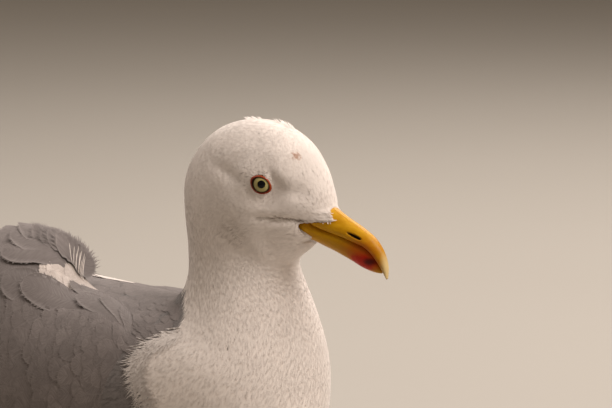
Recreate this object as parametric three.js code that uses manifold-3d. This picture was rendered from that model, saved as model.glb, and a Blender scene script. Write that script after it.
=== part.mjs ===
// An adult yellow-legged gull, life size, resting on its belly with its feet tucked under it.
// Millimetres. +X is forward, +Y is the bird's left, +Z is up, and the floor is Z = 0.
import * as THREE from "three";
import { mergeVertices } from "three/addons/utils/BufferGeometryUtils.js";
import Module from "manifold-3d";

const wasm = await Module();
wasm.setup();

// ---------- driving dimensions ----------
const CUT = 0.4; // width of the thin cuts that part the body
const GAP = 0.35; // clearance between neighbouring solids
const ROOM = 0.6; // growth at the vertices that gives that clearance at the faces
const BODY_RINGS = 38;
const BODY_SIDES = 20;
const EYE = { x: 81.2, y: 18.0, z: 175.8, radius: 7.2 };
const RING = { long: 5.75, short: 4.3, tube: 0.6, tilt: 0.5, turn: 0.45, steps: 12, sides: 5 };
const NOSTRIL = { x: 131, z: 150.6, length: 9, height: 2.2, fall: 0.36, floor: 3.5, sides: 8 };
// Cuts between head and neck and between neck and trunk, each through two points (x, z); then
// the x of the cuts before the belly and behind it, and the z of the one under the back.
const HEAD_CUT = [
  [21, 157],
  [91, 124],
];
const NECK_CUT = [
  [20, 111],
  [101, 84],
];
const BREAST_CUT = 36;
const RUMP_CUT = -112;
const BACK_CUT = 84;
const FEATHER = 1.3; // thickness of a flight feather's solid
const PRIMARY_TIPS = [-222, -250, -279, -309, -340]; // innermost to outermost
const TERTIAL_TIPS = [-196, -184, -170];
// Past the first x each wing leans towards the other side, by the whole distance at the second.
const CROSSING = { from: -190, to: -340, aside: 5 };
const TIP_LIFT = { left: -2.5, right: 5 }; // the right wing tip lies over the left one
const TAIL = { root: -165, tip: -288, feathers: 6, halfWidth: 37, thick: 1.8, height: 79 };
const TAIL_FALL = 8; // how much lower the tail's tip lies than its root
const TAIL_ARCH = 0.006; // curvature across the tail
const TAIL_GATHER = 0.6; // width at the root as a share of the width at the tip
const TAIL_ROUND = 0.5; // how much shorter the blades get towards the sides
const LEGS = { foot: -6, aside: 24 }; // where each tarsus meets its foot
// Length, sideways reach and radius of the middle, outer and inner toe.
const TOES = [
  [54, 3, 2.4],
  [47, 12, 2.2],
  [40, -8, 2.1],
];
// The lower part of every toe, from its root to its claw: share of the toe's length and of its
// sideways reach, height, and how much its radius is scaled.
const TOE_PROFILE = [
  [0, 0.05, 4.2, 1.2],
  [0.55, 0.5, 3.0, 1],
  [1, 1, 2.4, 0.8],
];
// Points of a claw: distance past the toe, share of the sideways reach, height and radius.
const CLAW_PROFILE = [
  [2.9, 1.05, 2.4, 1.3],
  [6.5, 1.12, 2.3, 0.9],
  [9.2, 1.17, 1.2, 0.5],
];
// Points of limbs round the foot: forward, aside, height, radius and flatness.
const TARSUS = [
  [-66, 3, 6.2, 4.4],
  [-55, 3, 5.2, 3.4],
  [-28, 1.5, 4.6, 3.0, 1.15],
  [-7, 0, 5.0, 3.6],
];
const HIND_TOE = [
  [1, -2, 3.6, 1.7],
  [-1.5, -9, 2.2, 1.3],
];
const LEG_HOLLOW = [
  [-70, 3, 4, 8],
  [-18, 1, 4, 7],
  [6, 0, 4, 15, 0.55],
  [38, 2, 2, 21, 0.42],
  [60, 2, 2, 15, 0.42],
];
// The web's edge runs between points this far short of the toes' tips, over the points between.
const WEB = { thick: 1.2, height: 0.6, short: 3, outerDip: [42, 6.5], innerDip: [38, -3] };

// ---------- outlines ----------
// Each section of the body runs from a point on the back line to one on the belly line (x, z of
// each), with its half width, the shift of its widest place and its fullness.
const BODY_SECTIONS = [
  [115.0, 163.2, 103.0, 146.5, 8.5, 0, 1], // base of the bill
  [111.0, 175.0, 99.0, 141.5, 13.5, -0.05, 1], // lores
  [104.0, 188.2, 95.0, 138.0, 18.0, -0.05, 1], // forehead
  [93.2, 199.0, 91.5, 135.5, 21.5, 0, 0.95], // eyes
  [78.5, 205.8, 88.5, 133.5, 24.2, -0.05, 0.95], // crown
  [60.0, 206.7, 86.5, 132.0, 26.8, -0.1, 0.95], // ears
  [42.8, 201.4, 86.0, 130.5, 28.0, -0.1, 0.95], // hind crown
  [29.7, 190.4, 86.0, 128.5, 27.8, -0.05, 0.95], // occiput
  [22.6, 176.0, 86.5, 126.0, 27.3, 0, 0.95], // nape
  [22.4, 158.5, 88.0, 121.5, 27.2, 0, 0.95], // upper neck
  [25.0, 140.0, 92.0, 113.0, 28.7, 0, 0.95], // middle of the neck
  [26.0, 123.0, 96.8, 99.0, 33.3, 0, 0.95], // lower neck
  [19.0, 110.5, 99.4, 80.0, 41.0, -0.05, 0.92], // base of the neck
  [0.0, 106.5, 98.8, 60.0, 50.0, -0.05, 0.9], // shoulders
  [-25.0, 108.0, 95.0, 36.0, 56.0, -0.05, 0.9], // breast
  [-52.0, 110.0, 80.0, 13.5, 60.0, -0.05, 0.9], // front of the keel
  [-80.0, 112.0, 47.0, -1.5, 61.0, -0.05, 0.9], // belly
  [-103.0, 112.0, 8.0, -4.0, 59.0, -0.05, 0.92], // middle of the belly
  [-124.0, 106.0, -34.0, -2.5, 53.0, -0.05, 0.95], // thighs
  [-144.0, 100.0, -72.0, 7.0, 44.0, 0, 1], // vent
  [-163.0, 95.0, -108.0, 25.0, 34.0, 0.05, 1], // rump
  [-182.0, 90.5, -142.0, 43.0, 26.0, 0.1, 1], // base of the tail
  [-201.0, 87.0, -176.0, 57.0, 19.0, 0.1, 1], // tail coverts
  [-222.0, 83.0, -212.0, 70.0, 13.0, 0.1, 1], // tips of the tail coverts
];
// Sections of the folded wing: x, then y and z of its lower edge and of its upper edge, then the
// exponent of the quarter arc between them.
const WING_SECTIONS = [
  [17, 54, 66, 46, 90, 0.9], // bend of the wing
  [4, 61, 55, 34, 102, 0.9],
  [-18, 66, 48, 22, 108, 0.9],
  [-45, 68, 46, 16, 111, 0.9],
  [-72, 67, 48, 13, 114, 0.9],
  [-104, 61, 53, 10, 120, 0.95],
  [-138, 51, 61, 8, 121, 1],
  [-170, 41, 69, 6, 116, 1],
  [-205, 32, 76, 5, 108, 1],
  [-240, 24, 83, 4, 105, 1],
  [-275, 17, 90, 4, 105, 1],
  [-310, 12, 96, 4, 106, 1],
  [-340, 8, 101, 5, 107, 1], // wing tip
];
// The wind lifts the right scapulars: their inner edge rises by height between the first two
// places and settles again between the last two.
const RUFFLE = { height: 22, rise: [-30, -64], settle: [-80, -140] };
// Sections of each half of the bill: x, z on its upper line, x, z on its lower line, half width,
// shift of the widest place and fullness.
const UPPER_BILL = [
  [94, 167, 92, 157.4, 8.5, -0.3, 0.8],
  [105, 167, 99, 157.4, 10, -0.45, 0.9],
  [115.0, 163.6, 106, 153.7, 8.9, -0.5, 1],
  [120.6, 160.6, 112, 151.6, 7.8, -0.5, 1],
  [126.2, 157.8, 118, 150.1, 6.9, -0.5, 1],
  [131.0, 155.5, 124, 148.4, 6.2, -0.45, 0.95],
  [135.8, 152.9, 130, 146.5, 5.7, -0.4, 0.95],
  [140.1, 150.0, 136, 144.5, 5.1, -0.35, 0.95],
  [144.1, 146.0, 140.4, 141, 4.3, -0.3, 0.95],
  [147.1, 141.4, 144, 136.2, 3.4, -0.2, 1],
  [149.0, 135.4, 146.6, 131.9, 2.3, 0, 1],
  [149.2, 129.2, 148.4, 128.4, 0.8, 0, 1],
];
const LOWER_BILL = [
  [92, 156.6, 90, 147, 8.5, 0.3, 0.8],
  [101, 156, 98, 146.4, 10, 0.4, 0.9],
  [106, 153.3, 104, 145, 8.8, 0.4, 1],
  [112, 151.2, 110, 142.8, 7.6, 0.4, 1],
  [118, 149.7, 116, 140.8, 6.7, 0.4, 1],
  [124, 148, 121.5, 138.7, 6, 0.35, 0.95],
  [130, 146.1, 127.5, 136.3, 5.5, 0.3, 0.95],
  [135.5, 144, 133, 133.8, 4.8, 0.25, 0.95],
  [140, 140.8, 138.5, 132.1, 3.9, 0.2, 0.95],
  [143.5, 136.6, 142.6, 131.4, 2.8, 0.1, 1],
  [145.9, 132.6, 145.3, 131.3, 1, 0, 1],
];

// ---------- shape functions ----------
// A smooth curve through rows of numbers, at t from 0 to the number of rows less 1.
function along(rows, t) {
  const i = Math.min(Math.floor(t), rows.length - 2);
  const f = t - i;
  const [b, c] = [rows[i], rows[i + 1]];
  const a = rows[i - 1] ?? b.map((v, k) => 2 * v - c[k]);
  const d = rows[i + 2] ?? c.map((v, k) => 2 * v - b[k]);
  return b.map(
    (v, k) =>
      0.5 *
      (2 * v +
        (c[k] - a[k]) * f +
        (2 * a[k] - 5 * v + 4 * c[k] - d[k]) * f * f +
        (3 * v - a[k] - 3 * c[k] + d[k]) * f * f * f),
  );
}

// A closed solid from rings of points, each end closed by a fan from its middle.
function ringSolid(rings) {
  const n = rings[0].length;
  const points = rings.flat();
  const faces = [];
  for (let i = 0; i + 1 < rings.length; i++)
    for (let j = 0; j < n; j++) {
      const k = (j + 1) % n;
      faces.push(i * n + j, (i + 1) * n + j, (i + 1) * n + k);
      faces.push(i * n + j, (i + 1) * n + k, i * n + k);
    }
  [0, rings.length - 1].forEach((end) => {
    const middle = points.length;
    const ring = rings[end];
    points.push(ring[0].map((_, k) => ring.reduce((sum, p) => sum + p[k], 0) / n));
    for (let j = 0; j < n; j++) {
      const edge = [end * n + j, end * n + ((j + 1) % n)];
      faces.push(middle, ...(end ? edge.reverse() : edge));
    }
  });
  return solidOf(points, faces);
}

// A manifold solid from points and triangles, with its faces turned outwards.
function solidOf(points, faces) {
  const geometry = new THREE.BufferGeometry();
  geometry.setAttribute("position", new THREE.Float32BufferAttribute(points.flat(), 3));
  geometry.setIndex(faces);
  return fromGeometry(geometry);
}

function fromGeometry(geometry) {
  geometry.deleteAttribute("normal");
  geometry.deleteAttribute("uv");
  const merged = mergeVertices(geometry, 1e-3);
  const build = (triVerts) =>
    new wasm.Manifold(
      new wasm.Mesh({
        numProp: 3,
        vertProperties: merged.attributes.position.array,
        triVerts,
      }),
    );
  const faces = new Uint32Array(merged.index.array);
  const solid = build(faces);
  return solid.volume() > 0 ? solid : build(faces.reverse());
}

function geometryOf(solid) {
  const mesh = solid.getMesh();
  const geometry = new THREE.BufferGeometry();
  geometry.setAttribute("position", new THREE.BufferAttribute(mesh.vertProperties, 3));
  geometry.setIndex(new THREE.BufferAttribute(mesh.triVerts, 1));
  return geometry;
}

// A copy of a solid with every point moved out along its normal, to cut room for the solid.
function grown(solid, by = ROOM) {
  const geometry = geometryOf(solid);
  geometry.computeVertexNormals();
  const { position, normal } = geometry.attributes;
  const moved = position.array.map((value, k) => value + by * normal.array[k]);
  geometry.setAttribute("position", new THREE.BufferAttribute(moved, 3));
  return fromGeometry(geometry);
}

// Rings of a form whose sections run from an upper line to a lower one in the median plane.
function sectionRings(sections, count, sides, first = 0, last = sections.length - 1) {
  return Array.from({ length: count }, (_, i) => {
    const t = first + ((last - first) * i) / (count - 1);
    const [ux, uz, lx, lz, width, shift, fullness] = along(sections, t);
    return Array.from({ length: sides }, (_, j) => {
      const turn = (2 * Math.PI * j) / sides;
      const [c, s] = [Math.cos(turn), Math.sin(turn)];
      const height = c + shift * (1 - c * c);
      const y = width * Math.sign(s) * Math.abs(s) ** fullness;
      return [
        (ux + lx) / 2 + ((ux - lx) / 2) * height,
        y,
        (uz + lz) / 2 + ((uz - lz) / 2) * height,
      ];
    });
  });
}

function ruffleAt(x) {
  const [start, top] = RUFFLE.rise;
  const [end, rest] = RUFFLE.settle;
  const step = THREE.MathUtils.smoothstep;
  return RUFFLE.height * step(-x, -start, -top) * (1 - step(-x, -end, -rest));
}

// A point of a folded wing, drawn as the left one: t runs over WING_SECTIONS, share from the
// lower edge (0) to the upper edge (1), deep is the depth under the outer surface, and lift is
// how much of the ruffle it has.
function wingPoint(t, share, deep, lift) {
  const at = (tt, ss) => {
    const [x, ly, lz, uy, uz, exponent] = along(WING_SECTIONS, tt);
    const turn = (ss * Math.PI) / 2;
    const y = uy + (ly - uy) * Math.max(Math.cos(turn), 0) ** exponent;
    const z = lz + (uz - lz) * Math.max(Math.sin(turn), 0) ** exponent;
    return new THREE.Vector3(x, y, z + lift * ruffleAt(x) * ss * ss);
  };
  const e = 0.02;
  const last = WING_SECTIONS.length - 1;
  const p = at(t, share);
  const dt = at(Math.min(t + e, last), share).sub(at(Math.max(t - e, 0), share));
  const ds = at(t, Math.min(share + e, 0.99)).sub(at(t, Math.max(share - e, 0.01)));
  const inward = dt.cross(ds).normalize();
  if (inward.y > 0 || inward.z > 0.5) inward.negate();
  return p.addScaledVector(inward, deep);
}

// The place on WING_SECTIONS where the wing reaches x.
function wingPlace(x) {
  let [low, high] = [0, WING_SECTIONS.length - 1];
  for (let i = 0; i < 30; i++) {
    const middle = (low + high) / 2;
    if (along(WING_SECTIONS, middle)[0] > x) low = middle;
    else high = middle;
  }
  return (low + high) / 2;
}

// Steps from 0 to 1 that grow closer towards the tip of a feather.
const nearTip = (step) => 1 - (1 - step) ** 2;

// The width of a feather at u, as a share: whole up to start, then round down to reach.
function roundTip(u, start, reach) {
  if (u < start) return 1;
  const past = (u - start) / (1 - start);
  return reach + (1 - reach) * Math.sqrt(Math.max(1 - past * past, 0));
}

// A closed shell between two surfaces given over u and v from 0 to 1.
function shellSolid(outer, inner, nu, nv) {
  const grid = (surface) =>
    Array.from({ length: (nu + 1) * (nv + 1) }, (_, k) =>
      surface(Math.floor(k / (nv + 1)) / nu, (k % (nv + 1)) / nv),
    );
  const points = [...grid(outer), ...grid(inner)];
  const half = (nu + 1) * (nv + 1);
  const at = (i, j) => i * (nv + 1) + j;
  const faces = [];
  for (let i = 0; i < nu; i++)
    for (let j = 0; j < nv; j++) {
      const [a, b, c, d] = [at(i, j), at(i + 1, j), at(i + 1, j + 1), at(i, j + 1)];
      faces.push(a, b, c, a, c, d);
      faces.push(half + a, half + c, half + b, half + a, half + d, half + c);
    }
  const wall = (a, b) => faces.push(b, half + b, half + a, b, half + a, a);
  for (let i = 0; i < nu; i++) {
    wall(at(i + 1, 0), at(i, 0));
    wall(at(i, nv), at(i + 1, nv));
  }
  for (let j = 0; j < nv; j++) {
    wall(at(0, j), at(0, j + 1));
    wall(at(nu, j + 1), at(nu, j));
  }
  return solidOf(points, faces);
}

// A patch of the folded wing as a shell: places are its sections' x, low and high give the shares
// of its edges from how far along it a section is and from x, and its outer face lies the depth
// under below the wing's surface. Only the outer face takes the ruffle's lift, so that the lifted
// feathers are solid down to the back.
function wingPatch({ places, low, high, thick, edge, across, under = 0 }, lift) {
  const [first, last] = [places[0], places[places.length - 1]];
  const point = (u, v, deep, rise) => {
    const x = places[Math.round(u * (places.length - 1))];
    const length = (first - x) / (first - last);
    const [a, b] = [low(length, x), high(length, x)];
    return wingPoint(wingPlace(x), a + (b - a) * v, deep, rise).toArray();
  };
  const swell = (share, power) => Math.sin(Math.PI * share) ** power;
  const depth = (u, v) => edge + (thick - edge) * swell(u, 0.6) * swell(v, 0.5);
  const outer = (u, v) => point(u, v, under, lift);
  const inner = (u, v) => point(u, v, under + depth(u, v), 0);
  return shellSolid(outer, inner, places.length - 1, across);
}

// A tapering limb with round ends through points [x, y, z, radius, flatness].
function limb(route, sides = 6, steps = 2) {
  const points = route.map(([x, y, z, radius, flatness = 1]) => [x, y, z, radius, flatness]);
  const rings = [];
  const count = (points.length - 1) * steps;
  const centre = (t) => new THREE.Vector3(...along(points, t).slice(0, 3));
  const ring = (t, scale, shift) => {
    const [, , , radius, flatness] = along(points, t);
    const e = 0.05;
    const ahead = centre(Math.min(t + e, points.length - 1)).sub(centre(Math.max(t - e, 0))).normalize();
    const side = new THREE.Vector3(0, 0, 1).cross(ahead).normalize();
    const top = ahead.clone().cross(side);
    const c = centre(t).addScaledVector(ahead, shift * radius);
    return Array.from({ length: sides }, (_, j) => {
      const turn = (2 * Math.PI * j) / sides;
      return c
        .clone()
        .addScaledVector(side, Math.cos(turn) * radius * scale)
        .addScaledVector(top, Math.sin(turn) * radius * scale * flatness)
        .toArray();
    });
  };
  rings.push(ring(0, 0.5, -0.6));
  for (let i = 0; i <= count; i++) rings.push(ring((i * (points.length - 1)) / count, 1, 0));
  rings.push(ring(points.length - 1, 0.5, 0.6));
  return ringSolid(rings);
}

function box(x0, y0, z0, x1, y1, z1) {
  const geometry = new THREE.BoxGeometry(x1 - x0, y1 - y0, z1 - z0);
  geometry.translate((x0 + x1) / 2, (y0 + y1) / 2, (z0 + z1) / 2);
  return fromGeometry(geometry);
}

const mirrored = (solid) => solid.mirror([0, 1, 0]);
const joined = (solids) => solids.reduce((a, b) => a.add(b));
const without = (solid, others) => others.reduce((a, b) => a.subtract(b), solid);
const largest = (solid) => solid.decompose().reduce((a, b) => (b.volume() > a.volume() ? b : a));
const floorBlock = box(-500, -200, -60, 400, 200, 0);

// ---------- materials ----------
const finish = (color, roughness) => new THREE.MeshStandardMaterial({ color, roughness, metalness: 0 });
const WHITE = finish(0xeae4dc, 0.85);
const GREY = finish(0x8d8a8c, 0.8);
const BLACK = finish(0x1d1c1e, 0.6);
const HORN = finish(0xe0a21a, 0.35);
const IRIS = finish(0xcdc488, 0.1);
const LID = finish(0xc23a14, 0.5);
const LEG = finish(0xd9b23c, 0.55);
const CLAW = finish(0x2a2522, 0.4);

const bird = new THREE.Group();
function addPiece(name, solid, material) {
  const piece = new THREE.Mesh(geometryOf(solid), material);
  piece.name = name;
  bird.add(piece);
}

// ---------- wings ----------
const SPLIT = 0.6; // share at which the scapulars meet the coverts at the bend of the wing
const SPLIT_FALL = 0.14; // how far that share falls towards the tail
const SEAM = 0.008; // share left open on each side of a seam
const TOP = 0.96; // share of the upper edge of the feathers behind the scapulars
const evenly = (from, to, count) =>
  Array.from({ length: count + 1 }, (_, i) => from + ((to - from) * i) / count);

const COVERTS = {
  places: evenly(17, -150, 9),
  low: (length) => 0.02 + 0.02 * length,
  high: (length) => SPLIT - SPLIT_FALL * length - SEAM,
  thick: 10,
  edge: 1.2,
  across: 5,
};
const SCAPULARS = {
  places: evenly(6, -142, 10),
  low: (length) => SPLIT - SPLIT_FALL * length + SEAM,
  high: () => 0.99,
  thick: 8,
  edge: 2,
  across: 5,
};
const SECONDARIES = {
  places: evenly(-151, -186, 3),
  low: (length) => 0.04 + 0.1 * length ** 2,
  high: (length) => 0.455 - 0.05 * length ** 2,
  thick: 3,
  edge: 1.2,
  across: 2,
};
// Tertials: broad feathers behind the scapulars, one above the other, each with a round tip.
const TERTIAL_LOW = 0.47;
const TERTIAL_STEP = 0.175;
function tertialBand(i) {
  const half = TERTIAL_STEP / 2;
  const middle = TERTIAL_LOW + TERTIAL_STEP * i + half;
  const reach = (length) => (half - SEAM) * roundTip(length, 0.45, 0.15);
  return {
    places: evenly(-144, TERTIAL_TIPS[i], 6),
    low: (length) => middle - reach(length),
    high: (length) => middle + reach(length),
    thick: 2.6,
    edge: 1.2,
    across: 2,
  };
}
// Primaries: five blades that start under the tertials and secondaries. The longest lies lowest,
// and each shorter one ends on the upper edge of the folded wing.
const PRIMARY_ROOT = -160;
const PRIMARY_LOW = 0.03;
const PRIMARY_TAPER = 14; // how far past a blade's tip its lower seam would reach the top
const PRIMARY_DEEP = 3.6; // how far the blades lie under the wing's surface
const PRIMARY_NARROWEST = 0.016; // the least share of the wing that a blade keeps at its tip
const TIP_STOPS = [12, 3.5, 0]; // distances before a blade's tip at which its outline has points
// The share at x of the seam above the given number of blades, counted from the lowest.
function primarySeam(blades, x) {
  const start = PRIMARY_LOW + ((TOP - PRIMARY_LOW) * blades) / PRIMARY_TIPS.length;
  if (blades === 0 || blades === PRIMARY_TIPS.length) return start;
  const end = PRIMARY_TIPS[PRIMARY_TIPS.length - 1 - blades] - PRIMARY_TAPER;
  const passed = THREE.MathUtils.clamp((PRIMARY_ROOT - x) / (PRIMARY_ROOT - end), 0, 1);
  return start + (TOP - start) * passed;
}
function primaryBand(i) {
  const tip = PRIMARY_TIPS[i];
  const below = PRIMARY_TIPS.length - 1 - i;
  const halfWay = (PRIMARY_ROOT + PRIMARY_TIPS[0]) / 2;
  const ends = TIP_STOPS.map((before) => tip + before);
  const edges = (length, x) => {
    const [a, b] = [primarySeam(below, x) + SEAM, primarySeam(below + 1, x) - SEAM];
    const half = Math.max((b - a) * roundTip(length, 0.93, 0.5), PRIMARY_NARROWEST) / 2;
    return [(a + b) / 2 - half, (a + b) / 2 + half];
  };
  return {
    places: [PRIMARY_ROOT, halfWay, ...PRIMARY_TIPS.slice(0, i), ...ends],
    low: (length, x) => edges(length, x)[0],
    high: (length, x) => edges(length, x)[1],
    thick: FEATHER,
    edge: FEATHER,
    across: 2,
    under: PRIMARY_DEEP,
  };
}

// Beyond the rump each wing tip leans towards the other side, the right one over the left.
function crossTips(solid, lift) {
  return solid.warp((p) => {
    const share = THREE.MathUtils.smoothstep(-p[0], -CROSSING.from, -CROSSING.to);
    p[1] -= CROSSING.aside * share;
    p[2] += lift * share;
  });
}

const WING_PARTS = {
  coverts: COVERTS,
  scapulars: SCAPULARS,
  secondaries: SECONDARIES,
  ...Object.fromEntries(TERTIAL_TIPS.map((_, i) => [`tertial_${i + 1}`, tertialBand(i)])),
  ...Object.fromEntries(PRIMARY_TIPS.map((_, i) => [`primary_${i + 6}`, primaryBand(i)])),
};
const wings = {};
for (const [name, shape] of Object.entries(WING_PARTS)) {
  wings[`wing_left_${name}`] = crossTips(wingPatch(shape, 0), TIP_LIFT.left);
  wings[`wing_right_${name}`] = mirrored(crossTips(wingPatch(shape, 1), TIP_LIFT.right));
}

// ---------- tail ----------
// Long blades side by side in a shallow arch, fanned a little, each with a round end.
function tailBlade(i) {
  const outer = i - (TAIL.feathers - 1) / 2;
  const unit = (2 * TAIL.halfWidth) / TAIL.feathers;
  const length = TAIL.root - TAIL.tip - TAIL_ROUND * outer * outer;
  const surface = (level) => (step, v) => {
    const u = nearTip(step);
    const spread = TAIL_GATHER + (1 - TAIL_GATHER) * u;
    const round = roundTip(u, 0.9, 0.35);
    const across = (outer + (v - 0.5) * round) * unit * spread - (v - 0.5) * GAP;
    const x = TAIL.root - length * u;
    const z = TAIL.height - TAIL_FALL * u - TAIL_ARCH * across * across + level;
    return [x, across, z];
  };
  return shellSolid(surface(TAIL.thick / 2), surface(-TAIL.thick / 2), 7, 2);
}

// ---------- legs ----------
// The tarsus lies along the floor from the heel to the foot, and the toes point forward. All of
// it lies in a hollow of the belly feathers.
function legSolids(side) {
  const at = (forward, aside, height, ...size) => [
    LEGS.foot + forward,
    side * (LEGS.aside + aside),
    height,
    ...size,
  ];
  const placed = (points) => points.map((point) => at(...point));
  const tarsus = limb(placed(TARSUS));
  const toes = TOES.map(([forward, aside, radius]) => {
    const points = TOE_PROFILE.map(([u, v, height, scale]) =>
      at(forward * u, aside * v, height, radius * scale),
    );
    return limb(points, 5, 1);
  });
  const claws = TOES.map(([forward, aside]) => {
    const points = CLAW_PROFILE.map(([past, v, ...size]) => at(forward + past, aside * v, ...size));
    return limb(points, 4, 1);
  });
  const plan = (forward, aside) => at(forward, aside).slice(0, 2);
  const corners = TOES.map(([forward, aside]) => plan(forward - WEB.short, aside));
  const [middle, outer, inner] = corners;
  const web = new THREE.Shape();
  web.moveTo(...plan(1, 0));
  web.lineTo(...outer);
  web.quadraticCurveTo(...plan(...WEB.outerDip), ...middle);
  web.quadraticCurveTo(...plan(...WEB.innerDip), ...inner);
  web.closePath();
  const sheet = new THREE.ExtrudeGeometry(web, {
    depth: WEB.thick,
    bevelEnabled: false,
    curveSegments: 2,
  });
  sheet.translate(0, 0, WEB.height);
  const hindToe = limb(placed(HIND_TOE), 5, 1);
  const hollow = limb(placed(LEG_HOLLOW), 8, 1);
  return { tarsus, foot: joined([fromGeometry(sheet), ...toes, hindToe]), claws, hollow };
}

// ---------- eyes and bill ----------
function eyeball(side) {
  const ball = new THREE.SphereGeometry(EYE.radius, 12, 7);
  ball.translate(EYE.x, side * EYE.y, EYE.z);
  return fromGeometry(ball);
}

// The bare ring round the eye: an oval tube that lies close over the eyeball.
function eyeRing(side) {
  const oval = new THREE.EllipseCurve(0, 0, RING.long, RING.short);
  const place = new THREE.Matrix4()
    .makeTranslation(EYE.x, side * EYE.y, EYE.z)
    .multiply(new THREE.Matrix4().makeRotationZ(side * (Math.PI / 2 - RING.turn)))
    .multiply(new THREE.Matrix4().makeRotationX(side * RING.tilt));
  const shell = EYE.radius + GAP + RING.tube;
  const points = [];
  for (let i = 0; i < RING.steps; i++) {
    const p = oval.getPoint(i / RING.steps);
    const outwards = p.clone().normalize();
    const stand = Math.sqrt(shell ** 2 - p.lengthSq());
    for (let j = 0; j < RING.sides; j++) {
      const turn = (2 * Math.PI * j) / RING.sides;
      const q = p.clone().addScaledVector(outwards, RING.tube * Math.cos(turn));
      const height = stand + RING.tube * Math.sin(turn);
      points.push(new THREE.Vector3(height, q.x, q.y).applyMatrix4(place).toArray());
    }
  }
  const at = (i, j) => (i % RING.steps) * RING.sides + (j % RING.sides);
  const faces = [];
  for (let i = 0; i < RING.steps; i++)
    for (let j = 0; j < RING.sides; j++) {
      const [a, b, c, d] = [at(i, j), at(i + 1, j), at(i + 1, j + 1), at(i, j + 1)];
      faces.push(a, b, c, a, c, d);
    }
  return solidOf(points, faces);
}

// The cutter for one nostril: an oval rod that sinks into the side of the bill.
function nostril(side) {
  const long = 20;
  const radius = NOSTRIL.height / 2;
  const rod = new THREE.CylinderGeometry(radius, radius, long, NOSTRIL.sides);
  rod.scale(NOSTRIL.length / NOSTRIL.height, 1, 1);
  rod.rotateY(NOSTRIL.fall);
  rod.translate(NOSTRIL.x, side * (NOSTRIL.floor + long / 2), NOSTRIL.z);
  return fromGeometry(rod);
}

const upperBill = without(ringSolid(sectionRings(UPPER_BILL, 14, 10)), [nostril(1), nostril(-1)]);
const lowerBill = ringSolid(sectionRings(LOWER_BILL, 12, 10));

// ---------- the body, parted by thin cuts ----------
const legs = { left: legSolids(1), right: legSolids(-1) };
const tail = Array.from({ length: TAIL.feathers }, (_, i) => tailBlade(i));
const whole = without(ringSolid(sectionRings(BODY_SECTIONS, BODY_RINGS, BODY_SIDES)), [
  ...Object.values(wings).map((solid) => grown(solid)),
  ...tail.map((blade) => grown(blade)),
  ...[upperBill, lowerBill].map((half) => grown(half)),
  ...[1, -1].flatMap((side) => [grown(eyeball(side)), grown(eyeRing(side))]),
  legs.left.hollow,
  legs.right.hollow,
  floorBlock,
]);

// The part of a solid above (1) or below (-1) a cut through two points of the median plane.
function beyond(solid, [[x0, z0], [x1, z1]], above) {
  const block = new THREE.BoxGeometry(1000, 300, 400);
  block.translate(0, 0, above * (200 + CUT / 2));
  block.rotateY(-Math.atan2(z1 - z0, x1 - x0));
  block.translate((x0 + x1) / 2, 0, (z0 + z1) / 2);
  return largest(solid.intersect(fromGeometry(block)));
}
const within = (solid, ...limits) => largest(solid.intersect(box(...limits)));
const belowHead = beyond(whole, HEAD_CUT, -1);
const trunk = beyond(belowHead, NECK_CUT, -1);

addPiece("head", beyond(whole, HEAD_CUT, 1), WHITE);
addPiece("neck", beyond(belowHead, NECK_CUT, 1), WHITE);
addPiece("breast", within(trunk, BREAST_CUT, -100, -1, 200, 100, 200), WHITE);
addPiece("belly", within(trunk, RUMP_CUT, -100, -1, BREAST_CUT - CUT, 100, BACK_CUT - CUT), WHITE);
addPiece("back", within(trunk, RUMP_CUT, -100, BACK_CUT, BREAST_CUT - CUT, 100, 200), GREY);
addPiece("rump", within(trunk, -300, -100, -1, RUMP_CUT - CUT, 100, 200), WHITE);

addPiece("bill_upper", upperBill, HORN);
addPiece("bill_lower", lowerBill, HORN);
for (const [name, side] of [["left", 1], ["right", -1]]) {
  const { tarsus, foot, claws } = legs[name];
  addPiece(`eye_${name}`, eyeball(side), IRIS);
  addPiece(`eye_ring_${name}`, eyeRing(side), LID);
  addPiece(`tarsus_${name}`, tarsus, LEG);
  addPiece(`foot_${name}`, foot, LEG);
  claws.forEach((claw, i) => addPiece(`claw_${name}_${i + 1}`, claw, CLAW));
}
for (const [name, solid] of Object.entries(wings))
  addPiece(name, solid, name.includes("primary") ? BLACK : GREY);
tail.forEach((blade, i) => addPiece(`tail_feather_${i + 1}`, blade, WHITE));

// The origin is at the middle of the footprint, on the floor.
const extent = new THREE.Box3().setFromObject(bird);
const centre = extent.getCenter(new THREE.Vector3());
bird.position.set(-centre.x, -centre.y, -extent.min.z);

export default bird;
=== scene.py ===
# An adult yellow-legged gull at rest on its belly: skin, plumage, bill, eyes, wings, tail and legs
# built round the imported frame. Tables are in millimetres from the bird's own origin, which lies
# under its shoulders on the floor: +X forward, +Y the bird's left, +Z up.
import math

import bpy
import numpy as np
from mathutils import Matrix, Vector
from mathutils.bvhtree import BVHTree


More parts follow.
